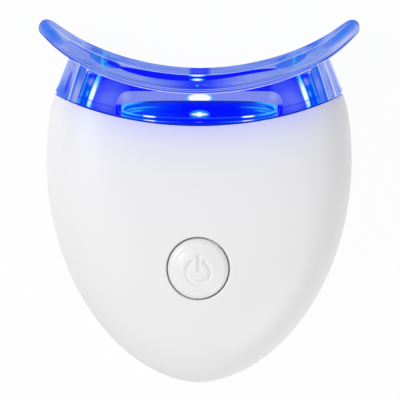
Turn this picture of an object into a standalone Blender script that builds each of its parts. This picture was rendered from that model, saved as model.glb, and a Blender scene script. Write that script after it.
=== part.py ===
"""Teeth whitening lamp: a hand-held blue light behind a curved clear mouthpiece.

The lamp lies on its flat back. X runs across it, +Y runs towards the mouthpiece and +Z
points out of the front, so the button faces up. All lengths are in metres.
"""

import math

import bmesh
import bpy
from mathutils import Matrix, Vector

# Casing outline, seen from the front
BODY_HALF_WIDTH = 0.0305
BODY_TAIL = 0.0443  # from the widest line down to the tail
BODY_NOSE = 0.0524  # from the widest line up to where the outline would close
OUTLINE_POWER = 1.12

# Casing section
FRONT_RISE = 0.0120  # from the parting line to the front face
BACK_DROP = 0.0120  # from the parting line to the flat back
FRONT_CROWN = 4.5  # the higher, the flatter the front face
FRONT_SHOULDER = 2.1  # the higher, the squarer the shoulder
BACK_FLAT_SHARE = 0.72  # share of the outline that is flat on the back
WALL = 0.0016
PARTING_GAP = 0.0003

# Upper edge of the casing, an arc seen from the front
SEAM_FROM_TAIL = 0.0512
SEAM_RADIUS = 0.0700

# Clearances
FIT_GAP = 0.0003
OVERRUN = 0.0020  # how far a cut runs past what it cuts
BEDDING = 0.0005  # how far a joined shape goes into its neighbour

# Lip plate, a shallow dish bent round the mouth
PLATE_PAST_SEAM = 0.00765  # seam to the middle of the plate's wall
PLATE_RADIUS = 0.05235
PLATE_OVERHANG = 0.0054  # each end past the neck
PLATE_LEDGE = 0.0009  # rim past the neck's front and back
PLATE_CORNER = 4.0  # exponent of the outline's rounded corners
PLATE_CUP = 0.0020  # how far the rim stands towards the mouth
PLATE_CUP_POWER = 1.6
TIP_LIFT = 0.0025  # how far the two ends bend further towards the mouth
TIP_LIFT_POWER = 8  # the higher, the nearer to the ends the bend starts
TIP_END_SHARE = 1 / 6  # share of the wall that stands past its own middle at the rounded ends
PLATE_THICKNESS = 0.0027
PLATE_RIM_ROUND = 0.0010

# Neck between the casing and the lip plate, with the spigot inside the casing
NECK_SIDE_INSET = 0.0006  # in from the casing's side where the seam ends
NECK_FACE_INSET = 0.0007  # in from the casing's faces
NECK_SIDE_TAPER = 0.0026
NECK_FACE_TAPER = 0.0014
NECK_WALL = 0.0015
NECK_FRONT_CORNER = 3.2
NECK_BACK_CORNER = 4.0
SPIGOT_SIDE_STEP = 0.0018  # in from the neck
SPIGOT_FACE_STEP = 0.0013
SPIGOT_LENGTH = 0.0035
SPIGOT_WALL = 0.0014

# Arms of the mouthpiece that the shell screws clamp
ARM_WIDTH = 0.0013
ARM_THICKNESS = 0.0014
ARM_PAD = 0.0066

# Clear sleeve round the lamp
TUNNEL_SIDE_GAP = 0.0009  # inside the spigot
TUNNEL_FACE_GAP = 0.0004
TUNNEL_SIDE_TAPER = 0.0019
TUNNEL_FACE_TAPER = 0.0002
TUNNEL_SIDE_WALL = 0.0031
TUNNEL_TOP_SIDE_WALL = 0.0034
TUNNEL_FACE_WALL = 0.0013
TUNNEL_TOP_FACE_WALL = 0.0012
TUNNEL_BORE_CORNER = 7.0
TUNNEL_BASE_BEFORE_SEAM = 0.0011
TUNNEL_KNEE_PAST_SEAM = 0.0045  # up to here the sleeve keeps the width of its foot
TUNNEL_EDGE = 0.0012  # rounding of the upper edge
TUNNEL_CLEARANCE = 0.0004  # under the lip plate

# Lamp housing
HOUSING_SIDE_GAP = 0.0027  # inside the sleeve at its top
HOUSING_FACE_GAP = 0.0008
HOUSING_FRONT = 0.0024  # flange to the block's front edge
HOUSING_FLANGE = 0.0013
HOUSING_FLANGE_CLEARANCE = 0.0007  # inside the spigot
REAR_WALL = 0.0009
REAR_WALL_CORNER = 0.0025
REAR_WALL_CLEARANCE = 0.0004  # under the lip plate
CHEEK_WIDTH = 0.0010
CHEEK_LENGTH = 0.0030
CHEEK_DEPTH = 0.0056
SOCKET_WALL = 0.0010
SOCKET_LENGTH = 0.0030

# Oval reflector bowl
BOWL_SIDE_MARGIN = 0.0016  # inside the housing
BOWL_FACE_MARGIN = 0.0017
BOWL_DEPTH = 0.0048
BOWL_WALL = 0.0006
BOWL_LIP = 0.0010
BOWL_LIP_FLARE = 0.0003
BOWL_TILT = math.radians(18)
BOWL_RIM_PAST_SEAM = 0.0023  # seam to the middle of the rim
BOWL_REAR_CORNER = 3.5  # exponent of the squarer half next to the rear wall

# Led
LED_RADIUS = 0.0015
LED_FLANGE_RADIUS = 0.0019
LED_FLANGE = 0.0010
LED_LENGTH = 0.0053
LED_BASE_BEFORE_SEAM = 0.0051
LEAD_RADIUS = 0.00025
LEAD_PITCH = 0.00254
LEAD_BEND = 0.0010

# Shell screws, driven from the back
SCREW_SIDE_INSET = 0.0045  # in from the spigot's side
SCREW_BEFORE_SEAM = 0.0119
TAIL_SCREW_FROM_TAIL = 0.0123
SCREW_RADIUS = 0.0011
SCREW_HEAD_RADIUS = 0.0021
SCREW_HEAD = 0.0013
SCREW_LENGTH = 0.0120
SCREW_POINT = 0.0012
SCREW_SLOT_WIDTH = 0.0006
SCREW_SLOT_DEPTH = 0.0006
SCREW_SLOT_SHARE = 0.7  # of the head's radius
SCREW_HEAD_RECESS = 0.0010  # head below the back
TAIL_SCREW_HEAD_RECESS = 0.0021
BOSS_RADIUS = 0.0033
POST_RADIUS = 0.0025
BOSS_TOP = 0.0097

# Coin cells and their pocket
CELL_RADIUS = 0.0100
CELL_HEIGHT = 0.0032
CELL_FROM_TAIL = 0.0303
CELL_EDGE = 0.0003
CELL_STEP = 0.0011  # the smaller face stands in from the can by this much
CELL_STEP_HEIGHT = 0.0004
POCKET_WALL = 0.0014
POCKET_ROOF = 0.0010

# Battery contacts
CONTACT_THICKNESS = 0.0003
CONTACT_WIDTH = 0.0040
CONTACT_SLOT = 0.0010
CONTACT_FOOT = 0.0010  # from the lower cell's face to the strip's end
LEAF_REACH = 0.0040  # past the cell's middle

# Battery door and its channel
DOOR_FROM_TAIL = 0.0096
DOOR_LENGTH = 0.0327
DOOR_HALF_WIDTH = 0.0117  # at its inner face
DOOR_BEVEL = 0.0010  # each side leans in by this much, which holds the door in
DOOR_THICKNESS = 0.0014
DOOR_RECESS = 0.0003
FLOOR_HALF_WIDTH = 0.0142
FLOOR_THICKNESS = 0.0013
FLOOR_START_FROM_TAIL = 0.0040
FLOOR_MARGIN = 0.0014
GRIP_COUNT = 5
GRIP_PITCH = 0.0014
GRIP_WIDTH = 0.0006
GRIP_DEPTH = 0.0004
GRIP_HALF_LENGTH = 0.0050
GRIP_FROM_DOOR_END = 0.0030

# Circuit board and what is on it
BOARD_HALF_WIDTH = 0.0140
BOARD_FROM_TAIL = 0.0163
BOARD_LENGTH = 0.0275
BOARD_THICKNESS = 0.0010
BOARD_HEIGHT = 0.0130
BOARD_POST_RADIUS = 0.0016
BOARD_POST_X = 0.0115
BOARD_POST_INSET = 0.0028
PEG_RADIUS = 0.0012
PEG_X = 0.0060
SWITCH_SIZE = 0.0060
SWITCH_HEIGHT = 0.0030
SWITCH_COVER = 0.0003
PLUNGER_RADIUS = 0.00175
PLUNGER_DEPTH = 0.0014  # how far the plunger reaches into the switch
PLUNGER_RISE = 0.0011  # above the cover
CHIP_SIZE = (0.0039, 0.0049, 0.0014)
CHIP_LEG = 0.0004
CHIP_LEG_REACH = 0.0010
CHIP_LEG_PITCH = 0.00127
CHIP_ROWS = 4
CHIP_PLACE = (-0.0072, 0.0095)  # from the switch's middle
RESISTOR_SIZE = (0.0016, 0.0032, 0.0006)
RESISTOR_PLACE = (0.0048, 0.0080)
CAPACITOR_RADIUS = 0.0020
CAPACITOR_HEIGHT = 0.0050
CAPACITOR_EDGE = 0.0003
CAPACITOR_PLACE = (0.0090, 0.0100)

# Power button
BUTTON_FROM_TAIL = 0.0234
BUTTON_RADIUS = 0.00635
BUTTON_PROUD = 0.0007
BUTTON_DOME = 0.0002
BUTTON_EDGE = 0.0006
BUTTON_FLANGE = 0.0008
BUTTON_FLANGE_WIDTH = 0.0010
BUTTON_STEM_RADIUS = 0.0016
ICON_RADIUS = 0.00245
ICON_LINE = 0.00056
ICON_GAP = math.radians(70)
ICON_BAR_LENGTH = 0.0034
ICON_BAR_CENTRE = 0.0017  # above the ring's middle
ICON_DEPTH = 0.00025

# Travel
BUTTON_TRAVEL = 0.0005

# Mesh fineness
BODY_SEGMENTS = 56
BODY_BANDS = 18
NECK_SEGMENTS = 56
PLATE_COLUMNS = 26
PLATE_ROWS = 10
ROUND_SEGMENTS = 32
BOWL_SEGMENTS = 36
BOWL_BANDS = 12
SMALL_SEGMENTS = 16
SEAM_SEGMENTS = 240
DOME_BANDS = 4
CORNER_SEGMENTS = 4
BEND_SEGMENTS = 4
ICON_SEGMENTS = 20
HALVINGS = 40  # steps of a search by halving
MERGE_DISTANCE = 0.00001


def casing_point(angle, share, inset=0.0):
    """A point of the casing's outline seen from the front, shrunk to a share of its size.

    Y is counted from the widest line.
    """
    reach = BODY_NOSE if math.sin(angle) > 0 else BODY_TAIL
    x = share * (BODY_HALF_WIDTH - inset) * signed_power(math.cos(angle), OUTLINE_POWER)
    return x, share * (reach - inset) * math.sin(angle)


def signed_power(value, power):
    """value to a power, with its sign kept."""
    return math.copysign(abs(value) ** power, value)


def seam_rise(x):
    """How much higher the casing's upper edge is at x than in the middle."""
    return SEAM_RADIUS - math.sqrt(SEAM_RADIUS**2 - x**2)


def seam_end():
    """X where the casing's upper edge meets its outline."""
    low, high = 0.0, math.pi / 2
    for _ in range(HALVINGS):
        angle = (low + high) / 2
        x, y = casing_point(angle, 1.0)
        if BODY_TAIL + y > SEAM_FROM_TAIL + seam_rise(x):
            high = angle
        else:
            low = angle
    return x


# Widths and depths worked out from the sizes above, from the casing inwards
NECK_HALF_WIDTH = seam_end() - NECK_SIDE_INSET
NECK_HALF_DEPTH = min(FRONT_RISE, BACK_DROP) - NECK_FACE_INSET
NECK_TOP_HALF_WIDTH = NECK_HALF_WIDTH - NECK_SIDE_TAPER
NECK_TOP_HALF_DEPTH = NECK_HALF_DEPTH - NECK_FACE_TAPER
PLATE_HALF_WIDTH = NECK_TOP_HALF_WIDTH + PLATE_OVERHANG
PLATE_HALF_HEIGHT = NECK_TOP_HALF_DEPTH + PLATE_LEDGE
SPIGOT_HALF_WIDTH = NECK_HALF_WIDTH - SPIGOT_SIDE_STEP
SPIGOT_HALF_DEPTH = NECK_HALF_DEPTH - SPIGOT_FACE_STEP
TUNNEL_HALF_WIDTH = SPIGOT_HALF_WIDTH - SPIGOT_WALL - TUNNEL_SIDE_GAP
TUNNEL_HALF_DEPTH = SPIGOT_HALF_DEPTH - SPIGOT_WALL - TUNNEL_FACE_GAP
TUNNEL_TOP_HALF_WIDTH = TUNNEL_HALF_WIDTH - TUNNEL_SIDE_TAPER
TUNNEL_TOP_HALF_DEPTH = TUNNEL_HALF_DEPTH - TUNNEL_FACE_TAPER
TUNNEL_BORE_HALF_WIDTH = TUNNEL_HALF_WIDTH - TUNNEL_SIDE_WALL
TUNNEL_BORE_HALF_DEPTH = TUNNEL_HALF_DEPTH - TUNNEL_FACE_WALL
TUNNEL_BORE_TOP_HALF_WIDTH = TUNNEL_TOP_HALF_WIDTH - TUNNEL_TOP_SIDE_WALL
TUNNEL_BORE_TOP_HALF_DEPTH = TUNNEL_TOP_HALF_DEPTH - TUNNEL_TOP_FACE_WALL
HOUSING_HALF_WIDTH = TUNNEL_BORE_TOP_HALF_WIDTH - HOUSING_SIDE_GAP
HOUSING_HALF_DEPTH = TUNNEL_BORE_HALF_DEPTH - HOUSING_FACE_GAP
BOWL_HALF_WIDTH = HOUSING_HALF_WIDTH - BOWL_SIDE_MARGIN
BOWL_HALF_HEIGHT = HOUSING_HALF_DEPTH - BOWL_FACE_MARGIN
SCREW_X = SPIGOT_HALF_WIDTH - SCREW_SIDE_INSET


def plate_outline(across, along):
    """X and height of a point of the lip plate. across and along run from -1 to 1 over a square."""
    size = (abs(across) ** PLATE_CORNER + abs(along) ** PLATE_CORNER) ** (1 / PLATE_CORNER)
    scale = max(abs(across), abs(along)) / size if size else 0.0
    return across * scale * PLATE_HALF_WIDTH, along * scale * PLATE_HALF_HEIGHT


def plate_rise(x, height):
    """How much further towards the mouth the lip plate stands at x and height than in its middle."""
    bend = PLATE_RADIUS - math.sqrt(PLATE_RADIUS**2 - x**2)
    lift = TIP_LIFT * (abs(x) / PLATE_HALF_WIDTH) ** TIP_LIFT_POWER
    cup = PLATE_CUP * min(abs(height) / PLATE_HALF_HEIGHT, 1.0) ** PLATE_CUP_POWER
    return bend + lift + cup


# Places worked out from the sizes above. Zero in Y is midway between the tail and the lip plate's tips.
PARTING = BACK_DROP
TIP_REACH = max(plate_rise(*plate_outline(1.0, row / PLATE_ROWS)) for row in range(PLATE_ROWS + 1))
OVERALL_LENGTH = SEAM_FROM_TAIL + PLATE_PAST_SEAM + TIP_REACH + TIP_END_SHARE * PLATE_THICKNESS
TAIL_Y = -OVERALL_LENGTH / 2
WIDE_Y = TAIL_Y + BODY_TAIL
SEAM_Y = TAIL_Y + SEAM_FROM_TAIL
PLATE_Y = SEAM_Y + PLATE_PAST_SEAM
TUNNEL_BASE_Y = SEAM_Y - TUNNEL_BASE_BEFORE_SEAM
TUNNEL_KNEE_Y = SEAM_Y + TUNNEL_KNEE_PAST_SEAM
HOUSING_FLANGE_Y = TUNNEL_BASE_Y - FIT_GAP - HOUSING_FLANGE
BOWL_RIM_Y = SEAM_Y + BOWL_RIM_PAST_SEAM
LED_BASE_Y = SEAM_Y - LED_BASE_BEFORE_SEAM
SCREW_Y = SEAM_Y - SCREW_BEFORE_SEAM
TAIL_SCREW_Y = TAIL_Y + TAIL_SCREW_FROM_TAIL
CELL_Y = TAIL_Y + CELL_FROM_TAIL
DOOR_Y = TAIL_Y + DOOR_FROM_TAIL
BUTTON_Y = TAIL_Y + BUTTON_FROM_TAIL
BOARD_Y = TAIL_Y + BOARD_FROM_TAIL
DOOR_TOP = DOOR_RECESS + DOOR_THICKNESS
FLOOR_BOTTOM = DOOR_TOP + FIT_GAP
FLOOR_TOP = FLOOR_BOTTOM + FLOOR_THICKNESS
LOWER_CELL_Z = DOOR_TOP + FIT_GAP
UPPER_CELL_Z = LOWER_CELL_Z + CELL_HEIGHT + FIT_GAP
LEAF_Z = UPPER_CELL_Z + CELL_HEIGHT + FIT_GAP
POCKET_TOP = LEAF_Z + CONTACT_THICKNESS + FIT_GAP
POCKET_RADIUS = CELL_RADIUS + FIT_GAP
BOARD_TOP = BOARD_HEIGHT + BOARD_THICKNESS
SWITCH_BASE = BOARD_TOP + FIT_GAP
SWITCH_TOP = SWITCH_BASE + SWITCH_HEIGHT
COVER_BASE = SWITCH_TOP + FIT_GAP
PLUNGER_TOP = COVER_BASE + SWITCH_COVER + PLUNGER_RISE
ARM_BASE = BOSS_TOP + FIT_GAP
POST_BASE = ARM_BASE + ARM_THICKNESS + FIT_GAP


def casing_share(x, y):
    """The share of the casing's outline on which a point lies."""
    reach = BODY_NOSE if y > WIDE_Y else BODY_TAIL
    low, high = abs(y - WIDE_Y) / reach, 2.0
    for _ in range(HALVINGS):
        share = (low + high) / 2
        room = 1 - ((y - WIDE_Y) / (reach * share)) ** 2
        if abs(x) > BODY_HALF_WIDTH * share * max(room, 0) ** (OUTLINE_POWER / 2):
            low = share
        else:
            high = share
    return high


def front_height(x, y):
    """Height of the front face over a point."""
    share = min(casing_share(x, y), 1.0)
    return PARTING + FRONT_RISE * (1 - share**FRONT_CROWN) ** (1 / FRONT_SHOULDER)


def back_height(x, y):
    """Height of the back face over a point."""
    share = min(casing_share(x, y), 1.0)
    if share < BACK_FLAT_SHARE:
        return PARTING - BACK_DROP
    turn = (share - BACK_FLAT_SHARE) / (1 - BACK_FLAT_SHARE)
    return PARTING - BACK_DROP * math.sqrt(1 - turn**2)


def plate_middle(x, z):
    """Y of the middle of the lip plate's wall."""
    return PLATE_Y + plate_rise(x, z - PARTING)


def plate_back(x, z):
    """Y of the lip plate's face on the side of the casing."""
    lean = math.cos(math.asin(x / PLATE_RADIUS))
    return plate_middle(x, z) - PLATE_THICKNESS / 2 / lean


def oval(angle, half_width, half_depth, front_corner, back_corner):
    """X and Z of a rounded section about the parting line."""
    corner = front_corner if math.sin(angle) > 0 else back_corner
    across, up = math.cos(angle), math.sin(angle)
    swell = (abs(across) ** corner + abs(up) ** corner) ** (-1 / corner)
    x = half_width * swell * across
    z = PARTING + half_depth * swell * up
    return x, z


def new_collection(name):
    collection = bpy.data.collections.new(name)
    bpy.context.scene.collection.children.link(collection)
    return collection


def new_material(name, colour, roughness, metallic=0.0, alpha=1.0):
    material = bpy.data.materials.new(name)
    material.use_nodes = True
    shader = material.node_tree.nodes["Principled BSDF"]
    shader.inputs["Base Color"].default_value = (*colour, 1.0)
    shader.inputs["Roughness"].default_value = roughness
    shader.inputs["Metallic"].default_value = metallic
    shader.inputs["Alpha"].default_value = alpha
    return material


def finish(name, bm, collection, material=None):
    """Turns a bmesh into an object of the collection."""
    bmesh.ops.recalc_face_normals(bm, faces=bm.faces)
    mesh = bpy.data.meshes.new(name)
    bm.to_mesh(mesh)
    bm.free()
    thing = bpy.data.objects.new(name, mesh)
    collection.objects.link(thing)
    if material is not None:
        mesh.materials.append(material)
    return thing


def smooth(thing, limit=math.radians(35)):
    thing.data.shade_smooth()
    thing.data.set_sharp_from_angle(angle=limit)
    return thing


def make_cutter(name, bm):
    """A shape that only cuts or joins others."""
    thing = finish(name, bm, CUTTERS)
    thing.hide_render = True
    thing.display_type = "WIRE"
    return thing


def combine(thing, other, operation):
    """Adds a Boolean: DIFFERENCE cuts, UNION joins and INTERSECT keeps what both fill."""
    modifier = thing.modifiers.new(f"{operation.lower()} {other.name}", "BOOLEAN")
    modifier.operation = operation
    modifier.solver = "EXACT"
    modifier.object = other
    return thing


def round_edges(thing, width, segments=2, limit=math.radians(40)):
    modifier = thing.modifiers.new("rounded edges", "BEVEL")
    modifier.width = width
    modifier.segments = segments
    modifier.limit_method = "ANGLE"
    modifier.angle_limit = limit
    return thing


def put_origin(thing, place):
    """Moves an object's origin and leaves its mesh where it is."""
    thing.data.transform(Matrix.Translation(-Vector(place)))
    thing.location = place
    return thing


def add_box(bm, low, high):
    """A box between two corners."""
    made = bmesh.ops.create_cube(bm, size=1.0)["verts"]
    for vert in made:
        vert.co = Vector(low[i] if vert.co[i] < 0 else high[i] for i in range(3))
    return made


def add_cylinder(bm, x, y, low, high, radius, segments=ROUND_SEGMENTS):
    """An upright cylinder between two heights."""
    place = Matrix.Translation((x, y, (low + high) / 2))
    return bmesh.ops.create_cone(
        bm, cap_ends=True, segments=segments, radius1=radius, radius2=radius, depth=high - low, matrix=place
    )["verts"]


def add_loft(bm, rings, joined):
    """Skins rings of equal length. The last ring is joined to the first, or both get a cap."""
    loops = [[bm.verts.new(place) for place in ring] for ring in rings]
    pairs = list(zip(loops, loops[1:]))
    if joined:
        pairs.append((loops[-1], loops[0]))
    for lower, upper in pairs:
        for i in range(len(lower)):
            bm.faces.new((lower[i - 1], lower[i], upper[i], upper[i - 1]))
    if not joined:
        bm.faces.new(loops[0])
        bm.faces.new(reversed(loops[-1]))


def turned(name, profile, segments, material):
    """A profile of (radius, height) points, turned about Z with a Screw modifier."""
    bm = bmesh.new()
    verts = [bm.verts.new((radius, 0, height)) for radius, height in profile]
    for first, second in zip(verts, verts[1:]):
        bm.edges.new((first, second))
    mesh = bpy.data.meshes.new(name)
    bm.to_mesh(mesh)
    bm.free()
    mesh.materials.append(material)
    thing = bpy.data.objects.new(name, mesh)
    LAMP.objects.link(thing)
    screw = thing.modifiers.new("turned", "SCREW")
    screw.axis = "Z"
    screw.steps = segments
    screw.render_steps = segments
    screw.use_merge_vertices = True
    screw.merge_threshold = MERGE_DISTANCE
    screw.use_smooth_shade = True
    return thing


def add_casing(bm, inset=0.0):
    """The whole casing as one closed pebble, from a sphere whose points are moved."""
    made = bmesh.ops.create_uvsphere(bm, u_segments=BODY_SEGMENTS, v_segments=BODY_BANDS, radius=1.0)["verts"]
    last_band = math.pi / 2 - math.pi / BODY_BANDS
    for vert in made:
        turn = math.atan2(vert.co.y, vert.co.x)
        climb = math.asin(max(-1.0, min(1.0, vert.co.z)))
        if climb >= 0:
            share = max(math.cos(climb), 0.0) ** (2 / FRONT_CROWN)
            height = PARTING + (FRONT_RISE - inset) * math.sin(climb) ** (2 / FRONT_SHOULDER)
        else:
            bend = min(-climb / last_band, 1.0) * math.pi / 2
            share = BACK_FLAT_SHARE + (1 - BACK_FLAT_SHARE) * math.cos(bend)
            height = PARTING - (BACK_DROP - inset) * math.sin(bend)
            if -climb > last_band + math.pi / BODY_BANDS / 2:
                share = 0.0
        x, y = casing_point(turn, share, inset)
        vert.co = (x, WIDE_Y + y, height)


def hollow_casing(name, material):
    """The casing with its wall, before it is split and cut."""
    bm = bmesh.new()
    add_casing(bm)
    thing = finish(name, bm, LAMP, material)
    wall = thing.modifiers.new("wall", "SOLIDIFY")
    wall.thickness = WALL
    wall.offset = -1.0
    wall.use_even_offset = True
    return smooth(thing)


def seam_cutter():
    """A drum that cuts the casing's upper edge to its arc."""
    bm = bmesh.new()
    low, high = PARTING - BACK_DROP - OVERRUN, PARTING + FRONT_RISE + OVERRUN
    add_cylinder(bm, 0, SEAM_Y + SEAM_RADIUS, low, high, SEAM_RADIUS, SEAM_SEGMENTS)
    return make_cutter("seam cutter", bm)


def half_cutter(name, low, high):
    """A block over one side of the parting line."""
    reach = BODY_HALF_WIDTH + OVERRUN
    bm = bmesh.new()
    add_box(bm, (-reach, TAIL_Y - OVERRUN, low), (reach, WIDE_Y + BODY_NOSE + OVERRUN, high))
    return make_cutter(name, bm)


def screw_places():
    """X and Y of the shell screws, by name."""
    return {"left": (-SCREW_X, SCREW_Y), "right": (SCREW_X, SCREW_Y), "tail": (0.0, TAIL_SCREW_Y)}


def board_post_places():
    """X and Y of the posts that hold the circuit board down."""
    ends = (BOARD_Y + BOARD_POST_INSET, BOARD_Y + BOARD_LENGTH - BOARD_POST_INSET)
    return [(side * BOARD_POST_X, y) for side in (-1, 1) for y in ends]


def add_front_post(bm, x, y, base, radius, segments=SMALL_SEGMENTS):
    """A post that hangs from the middle of the front wall, whatever its slope there."""
    for vert in add_cylinder(bm, x, y, base, PARTING + FRONT_RISE, radius, segments):
        if vert.co.z > base + FIT_GAP:
            vert.co.z = front_height(vert.co.x, vert.co.y) - WALL / 2


def front_shell():
    shell = hollow_casing("front_shell", WHITE_SHELL)
    other_half = half_cutter("front half", PARTING - BACK_DROP - OVERRUN, PARTING + PARTING_GAP / 2)
    combine(shell, other_half, "DIFFERENCE")
    combine(shell, SEAM, "DIFFERENCE")

    bm = bmesh.new()
    for x, y in screw_places().values():
        add_front_post(bm, x, y, POST_BASE, POST_RADIUS)
    for x, y in board_post_places():
        add_front_post(bm, x, y, BOARD_TOP + FIT_GAP, BOARD_POST_RADIUS)
    combine(shell, make_cutter("front posts", bm), "UNION")

    bm = bmesh.new()
    hole = SCREW_RADIUS + FIT_GAP
    for x, y in screw_places().values():
        add_cylinder(bm, x, y, POST_BASE - OVERRUN, SCREW_LENGTH + SCREW_HEAD + OVERRUN, hole, SMALL_SEGMENTS)
    low, high = BOARD_TOP + WALL, PARTING + FRONT_RISE + OVERRUN
    add_cylinder(bm, 0, BUTTON_Y, low, high, BUTTON_RADIUS + FIT_GAP)
    return combine(shell, make_cutter("front holes", bm), "DIFFERENCE")


def add_back_boss(bm, x, y, top):
    """A boss that stands on the middle of the back wall, whatever its slope there."""
    for vert in add_cylinder(bm, x, y, 0, top, BOSS_RADIUS, SMALL_SEGMENTS):
        if vert.co.z < WALL:
            vert.co.z = back_height(vert.co.x, vert.co.y) + WALL / 2


def door_prism(bm, clearance, low, high, start, end):
    """A bar along Y whose sides lean in towards the back."""
    for vert in add_box(bm, (-1, start, low), (1, end, high)):
        lean = DOOR_BEVEL * (DOOR_TOP - vert.co.z) / DOOR_THICKNESS
        vert.co.x = math.copysign(DOOR_HALF_WIDTH + clearance - lean, vert.co.x)


def back_shell():
    shell = hollow_casing("back_shell", WHITE_SHELL)
    other_half = half_cutter("back half", PARTING - PARTING_GAP / 2, PARTING + FRONT_RISE + OVERRUN)
    combine(shell, other_half, "DIFFERENCE")
    combine(shell, SEAM, "DIFFERENCE")

    bm = bmesh.new()
    add_casing(bm, WALL / 2)
    inner_form = make_cutter("inner form", bm)
    bm = bmesh.new()
    start, end = TAIL_Y + FLOOR_START_FROM_TAIL, DOOR_Y + DOOR_LENGTH + FIT_GAP + FLOOR_MARGIN
    add_box(bm, (-FLOOR_HALF_WIDTH, start, 0), (FLOOR_HALF_WIDTH, end, FLOOR_TOP))
    floor = make_cutter("channel floor", bm)
    combine(floor, inner_form, "INTERSECT")
    combine(shell, floor, "UNION")

    bm = bmesh.new()
    for name, (x, y) in screw_places().items():
        if name == "tail":
            add_cylinder(bm, x, y, FLOOR_TOP - BEDDING, BOSS_TOP, BOSS_RADIUS, SMALL_SEGMENTS)
        else:
            add_back_boss(bm, x, y, BOSS_TOP)
    pocket_outer = POCKET_RADIUS + POCKET_WALL
    add_cylinder(bm, 0, CELL_Y, FLOOR_TOP - BEDDING, POCKET_TOP + POCKET_ROOF, pocket_outer)
    combine(shell, make_cutter("back bosses", bm), "UNION")

    bm = bmesh.new()
    for side in (-1, 1):
        top = BOARD_HEIGHT - FIT_GAP
        add_cylinder(bm, side * PEG_X, CELL_Y, POCKET_TOP + BEDDING, top, PEG_RADIUS, SMALL_SEGMENTS)
    combine(shell, make_cutter("board pegs", bm), "UNION")

    bm = bmesh.new()
    end = DOOR_Y + DOOR_LENGTH + FIT_GAP
    door_prism(bm, FIT_GAP, -OVERRUN, FLOOR_BOTTOM, TAIL_Y - OVERRUN, end)
    combine(shell, make_cutter("door channel", bm), "DIFFERENCE")

    bm = bmesh.new()
    add_cylinder(bm, 0, CELL_Y, 0, POCKET_TOP, POCKET_RADIUS)
    combine(shell, make_cutter("cell pocket", bm), "DIFFERENCE")

    bm = bmesh.new()
    half = CONTACT_WIDTH / 2 + FIT_GAP
    edge = CELL_Y + CELL_RADIUS
    above = POCKET_TOP + POCKET_ROOF + OVERRUN
    add_box(bm, (-half, edge - BEDDING, DOOR_TOP), (half, edge + CONTACT_SLOT, above))
    combine(shell, make_cutter("positive slot", bm), "DIFFERENCE")

    bm = bmesh.new()
    tail = CELL_Y - CELL_RADIUS + CONTACT_WIDTH / 2
    low = POCKET_TOP - BEDDING
    add_box(bm, (-half, tail - CONTACT_SLOT / 2, low), (half, tail + CONTACT_SLOT / 2, above))
    combine(shell, make_cutter("negative slot", bm), "DIFFERENCE")

    bm = bmesh.new()
    for name, (x, y) in screw_places().items():
        recess = TAIL_SCREW_HEAD_RECESS if name == "tail" else SCREW_HEAD_RECESS
        seat = recess + SCREW_HEAD + FIT_GAP
        add_cylinder(bm, x, y, -OVERRUN, seat, SCREW_HEAD_RADIUS + FIT_GAP, SMALL_SEGMENTS)
    combine(shell, make_cutter("screw head seats", bm), "DIFFERENCE")

    bm = bmesh.new()
    for x, y in screw_places().values():
        add_cylinder(bm, x, y, WALL, BOSS_TOP + OVERRUN, SCREW_RADIUS + FIT_GAP, SMALL_SEGMENTS)
    return combine(shell, make_cutter("screw holes", bm), "DIFFERENCE")


def plate(name):
    """The lip plate: a square grid moved to a rounded outline, then bent and cupped."""
    bm = bmesh.new()
    bmesh.ops.create_grid(bm, x_segments=PLATE_COLUMNS, y_segments=PLATE_ROWS, size=1.0)
    for vert in bm.verts:
        x, height = plate_outline(vert.co.x, vert.co.y)
        vert.co = (x, plate_middle(x, PARTING + height), PARTING + height)
    thing = finish(name, bm, LAMP, CLEAR_BLUE)
    wall = thing.modifiers.new("wall", "SOLIDIFY")
    wall.thickness = PLATE_THICKNESS
    wall.offset = 0.0
    wall.use_even_offset = True
    round_edges(thing, PLATE_RIM_ROUND, segments=3, limit=math.radians(60))
    return smooth(thing)


def neck_ring(half_width, half_depth, station):
    """One ring of the neck. station gives Y from X and Z."""
    ring = []
    for i in range(NECK_SEGMENTS):
        angle = 2 * math.pi * (i + 0.5) / NECK_SEGMENTS
        x, z = oval(angle, half_width, half_depth, NECK_FRONT_CORNER, NECK_BACK_CORNER)
        ring.append((x, station(x, z), z))
    return ring


def add_neck(bm):
    """The neck's skirt above the seam and the spigot below it, one closed ring."""

    def shoulder(x, z):
        return SEAM_Y + seam_rise(x) + FIT_GAP

    def foot(x, z):
        return SEAM_Y + seam_rise(x) - SPIGOT_LENGTH

    def inner_shoulder(x, z):
        return shoulder(x, z) + NECK_WALL

    inside_width, inside_depth = SPIGOT_HALF_WIDTH - SPIGOT_WALL, SPIGOT_HALF_DEPTH - SPIGOT_WALL
    top_width, top_depth = NECK_TOP_HALF_WIDTH - NECK_WALL, NECK_TOP_HALF_DEPTH - NECK_WALL
    rings = [
        neck_ring(NECK_TOP_HALF_WIDTH, NECK_TOP_HALF_DEPTH, plate_middle),
        neck_ring(NECK_HALF_WIDTH, NECK_HALF_DEPTH, shoulder),
        neck_ring(SPIGOT_HALF_WIDTH, SPIGOT_HALF_DEPTH, shoulder),
        neck_ring(SPIGOT_HALF_WIDTH, SPIGOT_HALF_DEPTH, foot),
        neck_ring(inside_width, inside_depth, foot),
        neck_ring(inside_width, inside_depth, inner_shoulder),
        neck_ring(top_width, top_depth, plate_middle),
    ]
    add_loft(bm, rings, joined=True)


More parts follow.
